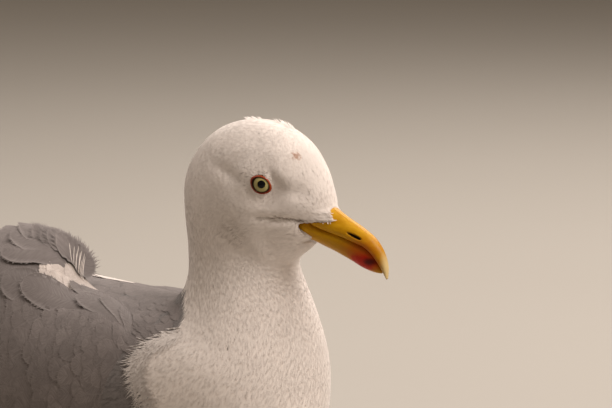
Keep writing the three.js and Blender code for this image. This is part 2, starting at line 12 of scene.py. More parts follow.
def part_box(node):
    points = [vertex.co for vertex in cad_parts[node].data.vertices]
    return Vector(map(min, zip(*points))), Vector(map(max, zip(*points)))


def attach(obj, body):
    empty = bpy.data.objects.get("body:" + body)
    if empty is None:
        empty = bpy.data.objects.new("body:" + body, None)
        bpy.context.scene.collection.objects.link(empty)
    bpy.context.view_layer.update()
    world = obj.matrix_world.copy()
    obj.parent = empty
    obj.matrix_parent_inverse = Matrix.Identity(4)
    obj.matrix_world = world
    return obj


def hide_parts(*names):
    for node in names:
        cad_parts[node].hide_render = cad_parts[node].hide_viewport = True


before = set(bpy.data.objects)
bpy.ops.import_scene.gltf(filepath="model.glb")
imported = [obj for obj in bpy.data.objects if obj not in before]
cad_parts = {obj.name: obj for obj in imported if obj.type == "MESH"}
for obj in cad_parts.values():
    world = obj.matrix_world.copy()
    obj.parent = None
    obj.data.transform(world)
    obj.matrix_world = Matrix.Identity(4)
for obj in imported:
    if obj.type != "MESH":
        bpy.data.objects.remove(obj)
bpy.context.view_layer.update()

# ---------- driving dimensions ----------
MM = 0.001
BILL_REACH = 149.2  # the bill tip's distance ahead of the origin
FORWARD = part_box("bill_upper")[1].x / MM - BILL_REACH  # the origin's place in the frame
SIDES = (("left", 1), ("right", -1))
# The eyeballs, then the bare ring round each: half its length and height, how thick it is, how it
# tilts and how far it looks ahead, in radians.
EYE = {"x": 81.2, "y": 18.0, "z": 175.8, "radius": 7.2}
RING = {"long": 5.75, "short": 4.3, "tube": 0.52, "tilt": 0.5, "turn": 0.45}
GAZE = np.array([0.10, 0, 0.06])  # how far the eyes look ahead of their rings' axes and above them
IRIS, PUPIL = 4.35, 2.0
NOSTRIL = {"x": 131.0, "z": 150.6, "length": 9.0, "height": 2.2, "fall": 0.36, "deep": 2.4}

# Each section of the body runs from a point on the back line to one on the belly line (x, z of
# each), with its half width, the shift of its widest place and its fullness.
BODY_SECTIONS = np.array([
    [115.0, 163.2, 103.0, 146.5, 8.5, 0, 1],  # base of the bill
    [111.0, 175.0, 99.0, 141.5, 13.5, -0.05, 1],  # lores
    [104.0, 188.2, 95.0, 138.0, 18.0, -0.05, 1],  # forehead
    [93.2, 199.0, 91.5, 135.5, 21.5, 0, 0.95],  # eyes
    [78.5, 205.8, 88.5, 133.5, 24.2, -0.05, 0.95],  # crown
    [60.0, 206.7, 86.5, 132.0, 26.8, -0.1, 0.95],  # ears
    [42.8, 201.4, 86.0, 130.5, 28.0, -0.1, 0.95],  # hind crown
    [29.7, 190.4, 86.0, 128.5, 27.8, -0.05, 0.95],  # occiput
    [22.6, 176.0, 86.5, 126.0, 27.3, 0, 0.95],  # nape
    [22.4, 158.5, 88.0, 121.5, 27.2, 0, 0.95],  # upper neck
    [25.0, 140.0, 92.0, 113.0, 28.7, 0, 0.95],  # middle of the neck
    [26.0, 123.0, 96.8, 99.0, 33.3, 0, 0.95],  # lower neck
    [19.0, 110.5, 99.4, 80.0, 41.0, -0.05, 0.92],  # base of the neck
    [0.0, 106.5, 98.8, 60.0, 50.0, -0.05, 0.9],  # shoulders
    [-25.0, 108.0, 95.0, 36.0, 56.0, -0.05, 0.9],  # breast
    [-52.0, 110.0, 80.0, 13.5, 60.0, -0.05, 0.9],  # front of the keel
    [-80.0, 112.0, 47.0, -1.5, 61.0, -0.05, 0.9],  # belly
    [-103.0, 112.0, 8.0, -4.0, 59.0, -0.05, 0.92],  # middle of the belly
    [-124.0, 106.0, -34.0, -2.5, 53.0, -0.05, 0.95],  # thighs
    [-144.0, 100.0, -72.0, 7.0, 44.0, 0, 1],  # vent
    [-163.0, 95.0, -108.0, 25.0, 34.0, 0.05, 1],  # rump
    [-182.0, 90.5, -142.0, 43.0, 26.0, 0.1, 1],  # base of the tail
    [-201.0, 87.0, -176.0, 57.0, 19.0, 0.1, 1],  # tail coverts
    [-222.0, 83.0, -212.0, 70.0, 13.0, 0.1, 1],  # tips of the tail coverts
])
# Sections of the folded wing: x, then y and z of its lower edge and of its upper edge, then the
# exponent of the quarter arc between them.
WING_SECTIONS = np.array([
    [17, 54, 66, 46, 90, 0.9],  # bend of the wing
    [4, 61, 55, 34, 102, 0.9],
    [-18, 66, 48, 22, 108, 0.9],
    [-45, 68, 46, 16, 111, 0.9],
    [-72, 67, 48, 13, 114, 0.9],
    [-104, 61, 53, 10, 120, 0.95],
    [-138, 51, 61, 8, 121, 1],
    [-170, 41, 69, 6, 116, 1],
    [-205, 32, 76, 5, 108, 1],
    [-240, 24, 83, 4, 105, 1],
    [-275, 17, 90, 4, 105, 1],
    [-310, 12, 96, 4, 106, 1],
    [-340, 8, 101, 5, 107, 1],  # wing tip
])
# Sections of each half of the bill: x, z on its upper line, x, z on its lower line, half width,
# shift of the widest place and fullness.
UPPER_BILL = np.array([
    [94, 167, 92, 157.4, 8.5, -0.3, 0.8],
    [105, 167, 99, 157.4, 10, -0.45, 0.9],
    [115.0, 163.6, 106, 153.7, 8.9, -0.5, 1],
    [120.6, 160.6, 112, 151.6, 7.8, -0.5, 1],
    [126.2, 157.8, 118, 150.1, 6.9, -0.5, 1],
    [131.0, 155.5, 124, 148.4, 6.2, -0.45, 0.95],
    [135.8, 152.9, 130, 146.5, 5.7, -0.4, 0.95],
    [140.1, 150.0, 136, 144.5, 5.1, -0.35, 0.95],
    [144.1, 146.0, 140.4, 141, 4.3, -0.3, 0.95],
    [147.1, 141.4, 144, 136.2, 3.4, -0.2, 1],
    [149.0, 135.4, 146.6, 131.9, 2.3, 0, 1],
    [149.2, 129.2, 148.4, 128.4, 0.8, 0, 1],
])
LOWER_BILL = np.array([
    [92, 156.6, 90, 147, 8.5, 0.3, 0.8],
    [101, 156, 98, 146.4, 10, 0.4, 0.9],
    [106, 153.3, 104, 145, 8.8, 0.4, 1],
    [112, 151.2, 110, 142.8, 7.6, 0.4, 1],
    [118, 149.7, 116, 140.8, 6.7, 0.4, 1],
    [124, 148, 121.5, 138.7, 6, 0.35, 0.95],
    [130, 146.1, 127.5, 136.3, 5.5, 0.3, 0.95],
    [135.5, 144, 133, 133.8, 4.8, 0.25, 0.95],
    [140, 140.8, 138.5, 132.1, 3.9, 0.2, 0.95],
    [143.5, 136.6, 142.6, 131.4, 2.8, 0.1, 1],
    [145.9, 132.6, 145.3, 131.3, 1, 0, 1],
])
# The wind lifts the right scapulars: their inner edge rises by height between the first two
# places and settles again between the last two.
RUFFLE = {"height": 20.0, "rise": (30, 64), "settle": (80, 140)}

# ---------- curves and surfaces ----------
def along(rows, t):
    """Smooth curves through the rows of a table, at t from 0 to the number of rows less 1."""
    t = np.asarray(t, float)
    padded = np.vstack([2 * rows[0] - rows[1], rows, 2 * rows[-1] - rows[-2]])
    i = np.clip(np.floor(t).astype(int), 0, len(rows) - 2)
    f = (t - i)[..., None]
    a, b, c, d = (padded[i + k] for k in range(4))
    return 0.5 * (2 * b + (c - a) * f + (2 * a - 5 * b + 4 * c - d) * f**2
                  + (3 * b - a - 3 * c + d) * f**3)


def mesh_grid(down, across):
    return np.meshgrid(down, across, indexing="ij")


def turns(count):
    """Evenly spaced directions all the way round."""
    return np.linspace(0, 2 * math.pi, count, endpoint=False)


def smooth(x, low, high):
    """0 below low, 1 above high, an even S between."""
    s = np.clip((np.asarray(x, float) - low) / (high - low), 0, 1)
    return s * s * (3 - 2 * s)


def unit(vectors):
    return vectors / np.maximum(np.linalg.norm(vectors, axis=-1, keepdims=True), 1e-12)


def section_point(sections, t, turn):
    """A point of a form whose sections run from an upper line to a lower one."""
    ux, uz, lx, lz, width, shift, fullness = np.moveaxis(along(sections, t), -1, 0)
    c, s = np.cos(turn), np.sin(turn)
    height = c + shift * (1 - c * c)
    y = width * np.sign(s) * np.abs(s) ** fullness
    return np.stack([(ux + lx) / 2 + (ux - lx) / 2 * height, y,
                     (uz + lz) / 2 + (uz - lz) / 2 * height], -1)


def grid_normals(grid, wrap):
    """Normals of a grid of points, by the differences along its rows and its columns."""
    down = np.gradient(grid, axis=0)
    if wrap:
        round_about = np.roll(grid, -1, 1) - np.roll(grid, 1, 1)
    else:
        round_about = np.gradient(grid, axis=1)
    return unit(np.cross(down, round_about))


def eye_frame(side):
    """Centre, outward axis, long and short directions of an eye and its ring."""
    turn = side * (math.pi / 2 - RING["turn"])
    tilt = side * RING["tilt"]
    place = Matrix.Rotation(turn, 3, "Z") @ Matrix.Rotation(tilt, 3, "X")
    centre = np.array([EYE["x"], side * EYE["y"], EYE["z"]])
    return (centre, *(np.array(place @ Vector(v)) for v in ((1, 0, 0), (0, 1, 0), (0, 0, 1))))


# ---------- meshes ----------
def make_mesh(name, points, faces, attributes=None, uvs=None):
    """An object whose mesh holds these points, in the bird's millimetres, and faces."""
    mesh = bpy.data.meshes.new(name)
    placed = (np.asarray(points, float) + [FORWARD, 0, 0]) * MM
    faces = [np.asarray(f, np.int32) for f in (faces if isinstance(faces, list) else [faces])]
    loops = np.concatenate([f.ravel() for f in faces])
    sizes = np.concatenate([np.full(len(f), f.shape[1]) for f in faces])
    mesh.vertices.add(len(placed))
    mesh.vertices.foreach_set("co", placed.astype(np.float32).ravel())
    mesh.loops.add(len(loops))
    mesh.loops.foreach_set("vertex_index", loops)
    mesh.polygons.add(len(sizes))
    mesh.polygons.foreach_set("loop_start", np.concatenate([[0], np.cumsum(sizes)[:-1]]))
    mesh.polygons.foreach_set("use_smooth", np.ones(len(sizes), bool))
    for key, values in (uvs or {}).items():
        layer = mesh.uv_layers.new(name=key)
        layer.data.foreach_set("uv", np.asarray(values, np.float32)[loops].ravel())
    for key, values in (attributes or {}).items():
        add_attribute(mesh, key, values)
    mesh.update(calc_edges=True)
    mesh.validate()
    piece = bpy.data.objects.new(name, mesh)
    bpy.context.scene.collection.objects.link(piece)
    return piece


def add_attribute(mesh, key, values):
    values = np.asarray(values, np.float32)
    kind, field = ("FLOAT", "value") if values.ndim == 1 else ("FLOAT_VECTOR", "vector")
    attribute = mesh.attributes.new(key, kind, "POINT")
    attribute.data.foreach_set(field, values.ravel())


def read_attribute(mesh, key, width):
    values = np.zeros(len(mesh.vertices) * width, np.float32)
    mesh.attributes[key].data.foreach_get("value" if width == 1 else "vector", values)
    return values.reshape(-1, width) if width > 1 else values


def grid_faces(rows, columns, wrap=False):
    """Quads between the points of a grid, which closes on itself across if wrap is true."""
    i, j = mesh_grid(np.arange(rows - 1), np.arange(columns if wrap else columns - 1))
    k = (j + 1) % columns
    return np.stack([i * columns + j, (i + 1) * columns + j,
                     (i + 1) * columns + k, i * columns + k], -1).reshape(-1, 4)


def ring_mesh(rings):
    """Points and faces of a closed form made of rings, each end closed by a fan."""
    rows, columns = rings.shape[:2]
    points = np.concatenate([rings.reshape(-1, 3), rings[0].mean(0)[None], rings[-1].mean(0)[None]])
    j = np.arange(columns)
    k = (j + 1) % columns
    last = (rows - 1) * columns
    first_fan = np.stack([np.full(columns, rows * columns), j, k], -1)
    last_fan = np.stack([np.full(columns, rows * columns + 1), last + k, last + j], -1)
    return points, [grid_faces(rows, columns, True), np.concatenate([first_fan, last_fan])]


def finish_piece(piece, material, replaces=()):
    """Gives a piece its material and its body, and hides the nodes that it stands for."""
    piece.data.materials.clear()
    piece.data.materials.append(material)
    if replaces:
        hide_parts(*replaces)
    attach(piece, "root")


def turned_out(points, faces):
    """The faces, turned round if they point inwards."""
    volume = 0.0
    for f in faces:
        corner = points[f[:, 0]]
        for k in range(1, f.shape[1] - 1):
            volume += (corner * np.cross(points[f[:, k]], points[f[:, k + 1]])).sum()
    return faces if volume > 0 else [f[:, ::-1] for f in faces]


def solid(name, points, faces, attributes, material, replaces=()):
    """A piece that is one closed form."""
    piece = make_mesh(name, points, turned_out(points, faces), attributes)
    finish_piece(piece, material, replaces)


# ---------- node trees ----------
def wire(tree, node, values):
    """Sets a node's inputs by name: a socket is linked, anything else is its value."""
    for key, value in values.items():
        socket = node.inputs[key]
        if isinstance(value, bpy.types.NodeSocket):
            tree.links.new(value, socket)
        else:
            socket.default_value = value
    return node


def add(tree, kind, values=None, **settings):
    node = tree.nodes.new(kind)
    for key, value in settings.items():
        setattr(node, key, value)
    return wire(tree, node, values or {})


def maths(tree, operation, a, b=None):
    node = add(tree, "ShaderNodeMath", {0: a}, operation=operation)
    if b is not None:
        wire(tree, node, {1: b})
    return node.outputs[0]


def times(tree, a, b):
    return maths(tree, "MULTIPLY", a, b)


def plus(tree, a, b):
    return maths(tree, "ADD", a, b)


def minus(tree, a, b):
    return maths(tree, "SUBTRACT", a, b)


def scaled(tree, vector, factor):
    """A vector or a colour times a number."""
    return add(tree, "ShaderNodeVectorMath", {0: vector, "Scale": factor},
               operation="SCALE").outputs[0]


def joined(tree, x=0.0, y=0.0, z=0.0):
    return add(tree, "ShaderNodeCombineXYZ", {"X": x, "Y": y, "Z": z}).outputs[0]


def split(tree, vector):
    return add(tree, "ShaderNodeSeparateXYZ", {0: vector}).outputs


def in_object(tree):
    """The place of a point on its object."""
    return add(tree, "ShaderNodeTexCoord").outputs["Object"]


def span(tree, value, low, high, to_low=0.0, to_high=1.0, kind="SMOOTHSTEP"):
    """A value between low and high becomes one between to_low and to_high."""
    node = add(tree, "ShaderNodeMapRange", {"Value": value, "From Min": low, "From Max": high,
                                            "To Min": to_low, "To Max": to_high},
               interpolation_type=kind)
    return node.outputs["Result"]


def blend_colours(tree, share, a, b):
    node = add(tree, "ShaderNodeMix", data_type="RGBA")
    return wire(tree, node, {0: share, 6: a, 7: b}).outputs[2]


def layered(tree, colour, *layers):
    """A colour with others laid over it, each by its own share."""
    for share, over in layers:
        colour = blend_colours(tree, share, colour, over)
    return colour


def read(tree, key, output="Fac"):
    """The number, or with output "Vector" the vector, that a mesh holds under a name."""
    return add(tree, "ShaderNodeAttribute", attribute_type="GEOMETRY",
               attribute_name=key).outputs[output]


def noise(tree, scale, vector=None, detail=3.0, rough=0.5):
    node = add(tree, "ShaderNodeTexNoise", {"Scale": scale, "Detail": detail, "Roughness": rough})
    wire(tree, node, {"Vector": in_object(tree) if vector is None else vector})
    return node.outputs["Fac"]


def raised(tree, height, strength, distance):
    node = add(tree, "ShaderNodeBump", {"Height": height, "Strength": strength,
                                        "Distance": distance})
    return node.outputs["Normal"]


def new_material(name, **constants):
    material = bpy.data.materials.new(name)
    material.use_nodes = True
    tree = material.node_tree
    shader = tree.nodes["Principled BSDF"]
    wire(tree, shader, {key.replace("_", " "): value for key, value in constants.items()})
    return material, tree, shader


# ---------- skin ----------
# A place t along the body counts its sections, from 0 at the bill to 23 at the tail.
SKIN_SIDES = 96
SKIN_PLACES = np.concatenate([np.arange(0, 9.5, 0.085), np.arange(9.5, 23, 0.12), [23.0]])
FLOOR_CLEAR = 0.9  # how far the skin stays off the floor
# How deep the coat is at places along the body.
COAT_DEPTH = np.array([[0, 0.2], [0.6, 0.5], [2, 0.9], [5, 1.3], [8, 1.6], [11, 1.8], [13, 2.1],
                       [16, 2.8], [19, 3.0], [23, 2.6]])
# Swellings (+) and hollows (-) of each side of the head: x, z, reach along and across, slope
# and height.
HEAD_FORMS = np.array([
    [63.5, 180.0, 13, 3.0, -0.33, -1.25],  # behind the brow
    [80, 185.0, 9, 2.6, 0.0, -0.5],  # over the eye
    [76, 190.5, 16, 5, 0.0, 0.7],  # brow
    [99, 172.5, 9, 4.0, -0.25, -1.2],  # in front of the eye
    [91.0, 182.5, 3.5, 5, 0.0, 0.55],  # between it and the brow
    [103, 165, 6, 4, -0.2, 0.5],  # lores
    [91, 157.8, 11, 1.0, -0.03, -2.0],  # fold behind the gape
    [92, 161.5, 12, 2.4, -0.03, 0.5],  # over that fold
    [92, 151, 10, 5, -0.1, 1.2],  # jaw
    [72, 161, 12, 9, 0.0, 0.8],  # ear coverts
    [95, 143, 8, 3, -0.2, -1.0],  # under the jaw
])
# The x of the front edge of the grey mantle at each height.
GREY_FRONT = np.array([[40, -400], [46, 18], [52, 35], [60, 34], [68, 27.5], [78, 24], [84.7, 26],
                       [89.7, 32], [94.4, 40], [99.4, 42], [104, 41], [109, 38], [113, 36],
                       [115, 24], [117, -400]])
# How far the feathers' front edge stands ahead of the first section, or behind it, by height:
# they reach forward on the lores and leave the gape bare.
FACE_EDGE = np.array([[146.5, 0], [147.8, 2.0], [149.5, -1.5], [151.5, -6.5], [154, -12],
                      [155.6, -12], [156.6, 4], [157.3, 8.6], [160, 4.2], [162, 1.0],
                      [163.2, 0]])
FACE_BLEND = 1.6  # the sections over which that edge dies out
OVER_BILL = 0.45  # how far the skin stands off the side of the bill
HUG_END = (159.0, 163.0)  # it stops following the bill between these heights
NEAR_BILL = 1.5  # how close a place must lie to the bill's own points to count as on it
FORMS_SPARE = (5, 13)  # the swellings and hollows fade between these, towards the middle of the head
# The skin round an eye, at distances from its axis that are 1 on the middle of the ring.
LID = {
    "height": 4.2,  # the least it stands out from the middle of the ball
    "sink": 1.2, "rise": 1.8, "rises": (0.8, 1.02),  # under the ball's surface inside, over it outside
    "ends": (1.1, 3.2),  # where it goes over to the head
    "forms_from": (1.1, 1.7),  # where the head's swellings begin
    "even_from": (1.08, 1.25), "even_to": (1.5, 2.4), "rounds": 3,  # where it is evened out
    "thins": (1.0, 3.2), "thin": 0.72,  # where the coat is thinner, and by how much
}
GREY_EDGE = 1.2  # how soft the front edge of the grey is
GREY_END = (-124, -112)  # the mantle gives way to the white rump between these
# The painted shade along the fold that runs back from the gape: its course, x and z, where it starts
# and fades.
GAPE_COURSE = np.array([[80, 159.2], [90, 158.2], [102, 157.2], [106, 156.6]])
GAPE_SHADE = {"dark": 0.8, "half": 0.6, "fades": (80, 95), "starts": (104, 108)}
# The ruffled ear coverts: an oval patch of curved dark streaks that slant and bow.
EAR = {"x": 70.0, "z": 150.5, "long": 10.0, "high": 6.5, "dark": 0.38, "slant": 0.9, "bow": 0.03}
BESIDE = 6  # the painted gape shade and the ear streaks keep this far from the middle of the head


def grey_share(points):
    """1 on the grey of the mantle, 0 on the white."""
    x, z = points[..., 0], points[..., 2]
    front = np.interp(z, GREY_FRONT[:, 0], GREY_FRONT[:, 1])
    return smooth(front - x, -GREY_EDGE, GREY_EDGE) * smooth(x, *GREY_END)


def gape_shade_and_ear_streaks(points):
    """How dark the painted shade in the fold behind the gape and the streaks on the ruffled ear
    coverts are, 0 elsewhere.
    """
    x, z = points[..., 0], points[..., 2]
    line = np.interp(x, GAPE_COURSE[:, 0], GAPE_COURSE[:, 1])
    along_it = smooth(x, *GAPE_SHADE["fades"]) * (1 - smooth(x, *GAPE_SHADE["starts"]))
    gape = GAPE_SHADE["dark"] * np.exp(-(((z - line) / GAPE_SHADE["half"]) ** 2)) * along_it
    behind, above = x - EAR["x"], z - EAR["z"]
    far = (behind / EAR["long"]) ** 2 + (above / EAR["high"]) ** 2
    bow = above + EAR["slant"] * behind + EAR["bow"] * behind**2
    streaks = np.clip(np.sin(bow * 1.15) + 0.35 * np.sin(bow * 2.7 + x * 0.4), 0, 1)
    ears = EAR["dark"] * streaks * np.exp(-(far**2))
    return np.maximum(gape, ears) * (np.abs(points[..., 1]) > BESIDE)


def ring_distance(points, side):
    """How far points lie from an eye's axis, 1 at the middle of its ring, and their height along
    that axis."""
    centre, axis, long_way, short_way = eye_frame(side)
    away = points - centre
    p, q = away @ long_way / RING["long"], away @ short_way / RING["short"]
    return np.hypot(p, q), away @ axis


def eyeball_height(points, side):
    """How far the eyeball's surface stands out beside points, along the eye's axis."""
    centre, axis, _, _ = eye_frame(side)
    away = points - centre
    across = np.linalg.norm(away - axis * (away @ axis)[..., None], axis=-1)
    return np.sqrt(EYE["radius"] ** 2 - np.minimum(across, 0.9 * EYE["radius"]) ** 2)


def beside_eye(points, side, stand):
    """Whether points lie on an eye's side of the head, and not behind the ball."""
    return (stand > -EYE["radius"]) & (points[..., 1] * side > 0)


def shaped_head(points, normals):
    """The skin's points with the head's swellings and the eye sockets."""
    x, y, z = np.moveaxis(points, -1, 0)
    height = np.zeros(x.shape)
    for fx, fz, reach, across, slope, rise in HEAD_FORMS:
        c, s = math.cos(slope), math.sin(slope)
        a = ((x - fx) * c + (z - fz) * s) / reach
        b = ((z - fz) * c - (x - fx) * s) / across
        height += rise * np.exp(-(a * a + b * b))
    height *= smooth(np.abs(y), *FORMS_SPARE)
    for _, side in SIDES:
        _, axis, _, _ = eye_frame(side)
        ring, stand = ring_distance(points, side)
        wanted = eyeball_height(points, side) - LID["sink"]
        wanted = np.maximum(wanted + LID["rise"] * smooth(ring, *LID["rises"]), LID["height"])
        beside = beside_eye(points, side, stand)
        near = (1 - smooth(ring, *LID["ends"])) * beside
        points = points + axis * ((wanted - stand) * near)[..., None]
        height *= 1 - (1 - smooth(ring, *LID["forms_from"])) * beside
    return smoothed_lids(points + normals * height[..., None])


def from_eyes(points):
    """How far points lie from the nearer eye, 1 at the middle of its ring."""
    close = np.full(points.shape[:-1], math.inf)
    for _, side in SIDES:
        ring, stand = ring_distance(points, side)
        close = np.where(beside_eye(points, side, stand), np.minimum(close, ring), close)
    return close


def smoothed_lids(points):
    """The skin just outside the rings, evened out."""
    close = from_eyes(points)
    share = smooth(close, *LID["even_from"]) * (1 - smooth(close, *LID["even_to"]))
    share = share[:, :-1, None]
    points = points.copy()
    for _ in range(LID["rounds"]):
        own = points[:, :-1]
        rows = np.concatenate([own[:1], own, own[-1:]])
        mean = (np.roll(own, 1, 1) + np.roll(own, -1, 1) + rows[2:] + rows[:-2]) / 4
        points[:, :-1] = own + (mean - own) * share
        points[:, -1] = points[:, 0]
    return points


def bill_side(points):
    """The bill's half width beside each point, from the nearest point of its root, or 0."""
    t, turn = mesh_grid(np.linspace(0, 6, 60), np.linspace(0, math.pi, 40))
    bill = np.concatenate([section_point(half, t, turn).reshape(-1, 3)
                           for half in (UPPER_BILL, LOWER_BILL)])
    gaps = np.hypot(points[:, None, 0] - bill[None, :, 0], points[:, None, 2] - bill[None, :, 2])
    return np.where(gaps.min(1) < NEAR_BILL, bill[gaps.argmin(1), 1], 0)


def face_edge(points, t):
    """The skin drawn forward over the sides of the bill, or back at the gape."""
    share = 1 - smooth(t, 0, FACE_BLEND)
    points = points.copy()
    points[..., 0] += share * np.interp(points[..., 2], FACE_EDGE[:, 0], FACE_EDGE[:, 1],
                                        left=0, right=0)
    rows = t[:, 0] < FACE_BLEND
    front = points[rows]
    side = bill_side(front.reshape(-1, 3)).reshape(front.shape[:2]) + OVER_BILL
    signs = np.where(front[..., 1] < 0, -1, 1)
    own, on_bill = np.abs(front[..., 1]), side > OVER_BILL
    hold = share[rows] * (1 - smooth(front[..., 2], *HUG_END))
    hugging = np.where(on_bill, own + (side - own) * hold, own)
    points[rows, :, 1] = signs * np.maximum(hugging, side * on_bill)
    return points


def depth_at(t):
    return np.interp(t, COAT_DEPTH[:, 0], COAT_DEPTH[:, 1])


def build_skin():
    """The skin's grid of points, with normals, the lie of the coat and its depth."""
    turn = math.pi + np.linspace(0, 2 * math.pi, SKIN_SIDES + 1)
    t, turn = mesh_grid(SKIN_PLACES, turn)
    outer = section_point(BODY_SECTIONS, t, turn)
    middle = outer[:, :-1].mean(1, keepdims=True)
    normals = grid_normals(outer[:, :-1], True)
    normals = np.concatenate([normals, normals[:, :1]], 1)
    normals *= np.sign(((outer - middle) * normals).sum(-1).mean())
    depth = depth_at(t)
    points = shaped_head(outer - normals * depth[..., None], normals)
    points = face_edge(points, t)
    points[..., 2] = np.maximum(points[..., 2], FLOOR_CLEAR)
    points[:, -1] = points[:, 0]
    flow = unit(np.gradient(outer, axis=0))
    depth = depth * (1 - LID["thin"] * (1 - smooth(from_eyes(points), *LID["thins"])))
    bent = grid_normals(points[:, :-1], True)
    bent = np.concatenate([bent, bent[:, :1]], 1)
    bent *= np.sign(((points - middle) * bent).sum(-1).mean())
    flow = unit(flow - bent * (flow * bent).sum(-1, keepdims=True))
    return {"place": points, "normal": bent, "flow": flow, "depth": depth, "t": t}


SKIN = build_skin()


# ---------- the coat ----------
PATCH = 0.003  # the size of a tuft on the unwrapped skin
DENSEST = 6e6  # the most roots on a square metre, before their spacing thins them
TUFT_LENGTHS, TUFT_WIDTHS = (0.78, 1.18), (0.8, 1.15)  # how much tufts differ in size
TUFT_BOW = 0.35  # how far a tuft's sides lie below its middle, as a share of its height
STANDS_FREE = (0.0, 0.25)  # tufts that stand up this much no longer follow the skin's form
MARGIN = 14  # rows of bare skin kept round a patch, so that tufts past its edge lie on the skin
FLOOR_LAYER = 0.3 * FLOOR_CLEAR  # how low the tufts under the belly may lie
SEEN_AT = 0.55  # how far along a tuft its colour is read from the skin's markings
RAGGED = 2.5  # how far the edge of the grey strays from tuft to tuft
GROWING = ("skin_normal", "flow", "depth", "unwrap", "density", "length", "width", "stand", "root",
           "under", "rise")  # what a piece of the coat needs only while it is made


def leaf_object(name, rows, fingers):
    """One tuft of length, width and height 1: rows of (along, half width, height), then points."""
    points, above, faces, strips = [], [], [], []
    for forward, half, height, count in rows:
        strips.append((len(points), count))
        for across in np.linspace(-half, half, count):
            points.append((forward, across))
            above.append(height * (1 - TUFT_BOW * (across / 0.5) ** 2))
    for (a, in_a), (b, in_b) in zip(strips[:-1], strips[1:]):
        i = j = 0
        while i < in_a - 1 or j < in_b - 1:
            next_i = (i + 1) / (in_a - 1) if i < in_a - 1 else math.inf
            next_j = (j + 1) / (in_b - 1) if j < in_b - 1 else math.inf
            if next_i <= next_j:
                faces.append((a + i, b + j, a + i + 1))
                i += 1
            else:
                faces.append((a + i, b + j, b + j + 1))
                j += 1
    last, _ = strips[-1]
    for k, (reach, height) in enumerate(fingers):
        across = (points[last + k][1] + points[last + k + 1][1]) / 2
        faces.append((last + k, len(points), last + k + 1))
        points.append((reach, across * 0.92))
        above.append(height)
    mesh = bpy.data.meshes.new(name)
    mesh.from_pydata([(x, y, 0) for x, y in points], [], faces)
    add_attribute(mesh, "leaf", np.column_stack([np.array(points), np.zeros(len(points))]))
    add_attribute(mesh, "rise", np.array(above))
    return bpy.data.objects.new(name, mesh)


def coat_tree(name):
    """Tufts spread over a patch of skin, along the lie of the coat, bent to the skin's form."""
    tree = bpy.data.node_groups.new(name, "GeometryNodeTree")
    face = tree.interface
    face.new_socket("Geometry", in_out="OUTPUT", socket_type="NodeSocketGeometry")
    face.new_socket("Geometry", in_out="INPUT", socket_type="NodeSocketGeometry")
    for key, kind in (("Spacing", "Float"), ("Seed", "Int"), ("Tuft", "Object"),
                      ("Stray", "Float"), ("Plumage", "Material")):
        face.new_socket(key, in_out="INPUT", socket_type="NodeSocket" + kind)
    given = tree.nodes.new("NodeGroupInput").outputs
    out = tree.nodes.new("NodeGroupOutput")

    def held(key, kind="FLOAT_VECTOR"):
        return add(tree, "GeometryNodeInputNamedAttribute", {"Name": key},
                   data_type=kind).outputs["Attribute"]

    def stored(geometry, key, value, kind="FLOAT_VECTOR"):
        return add(tree, "GeometryNodeStoreNamedAttribute",
                   {"Geometry": geometry, "Name": key, "Value": value}, data_type=kind,
                   domain="POINT").outputs["Geometry"]

    def chance(low, high, **seed):
        return add(tree, "FunctionNodeRandomValue", {"Min": low, "Max": high, **seed},
                   data_type="FLOAT").outputs["Value"]

    def here():
        return tree.nodes.new("GeometryNodeInputPosition").outputs[0]

    spread = add(tree, "GeometryNodeDistributePointsOnFaces",
                 {"Mesh": given["Geometry"], "Distance Min": given["Spacing"],
                  "Density Max": DENSEST, "Density Factor": held("density", "FLOAT"),
                  "Seed": given["Seed"]}, distribute_method="POISSON")
    lie = add(tree, "FunctionNodeAxesToRotation",
              {"Primary Axis": held("skin_normal"), "Secondary Axis": held("flow")},
              primary_axis="Z", secondary_axis="X")
    stray = chance(times(tree, given["Stray"], -1.0), given["Stray"], Seed=given["Seed"])
    swing = joined(tree, y=times(tree, held("stand", "FLOAT"), -1.0), z=stray)
    swing = add(tree, "FunctionNodeEulerToRotation", {"Euler": swing})
    turned = add(tree, "FunctionNodeRotateRotation",
                 {"Rotation": lie.outputs[0], "Rotate By": swing.outputs[0]},
                 rotation_space="LOCAL")
    long = times(tree, chance(*TUFT_LENGTHS), held("length", "FLOAT"))
    wide = times(tree, chance(*TUFT_WIDTHS, Seed=5), held("width", "FLOAT"))
    points = stored(spread.outputs["Points"], "tint", chance(0.0, 1.0, Seed=11), "FLOAT")
    points = stored(points, "root", here())
    tuft = add(tree, "GeometryNodeObjectInfo", {"Object": given["Tuft"]})
    tufts = add(tree, "GeometryNodeInstanceOnPoints",
                {"Points": points, "Instance": tuft.outputs["Geometry"],
                 "Rotation": turned.outputs[0], "Scale": joined(tree, long, wide, 1.0)})
    real = add(tree, "GeometryNodeRealizeInstances", {"Geometry": tufts.outputs[0]})
    nearest = add(tree, "GeometryNodeProximity", {"Geometry": given["Geometry"]},
                  target_element="FACES")
    under = add(tree, "GeometryNodeSampleNearestSurface",
                {"Mesh": given["Geometry"], "Value": held("skin_normal")},
                data_type="FLOAT_VECTOR").outputs["Value"]
    height = times(tree, held("rise", "FLOAT"), held("depth", "FLOAT"))
    shift = scaled(tree, under, height)
    laid = add(tree, "ShaderNodeVectorMath", {0: nearest.outputs["Position"], 1: shift},
               operation="ADD")
    free = add(tree, "ShaderNodeVectorMath", {0: here(), 1: shift}, operation="ADD")
    chosen = add(tree, "ShaderNodeMix", data_type="VECTOR")
    wire(tree, chosen, {0: span(tree, held("stand", "FLOAT"), *STANDS_FREE),
                        4: laid.outputs[0], 5: free.outputs[0]})
    moved = add(tree, "GeometryNodeSetPosition",
                {"Geometry": real.outputs[0], "Position": chosen.outputs[1]})
    dressed = add(tree, "GeometryNodeSetMaterial",
                  {"Geometry": stored(moved.outputs[0], "under", under),
                   "Material": given["Plumage"]})
    wire(tree, out, {"Geometry": dressed.outputs[0]})
    return tree


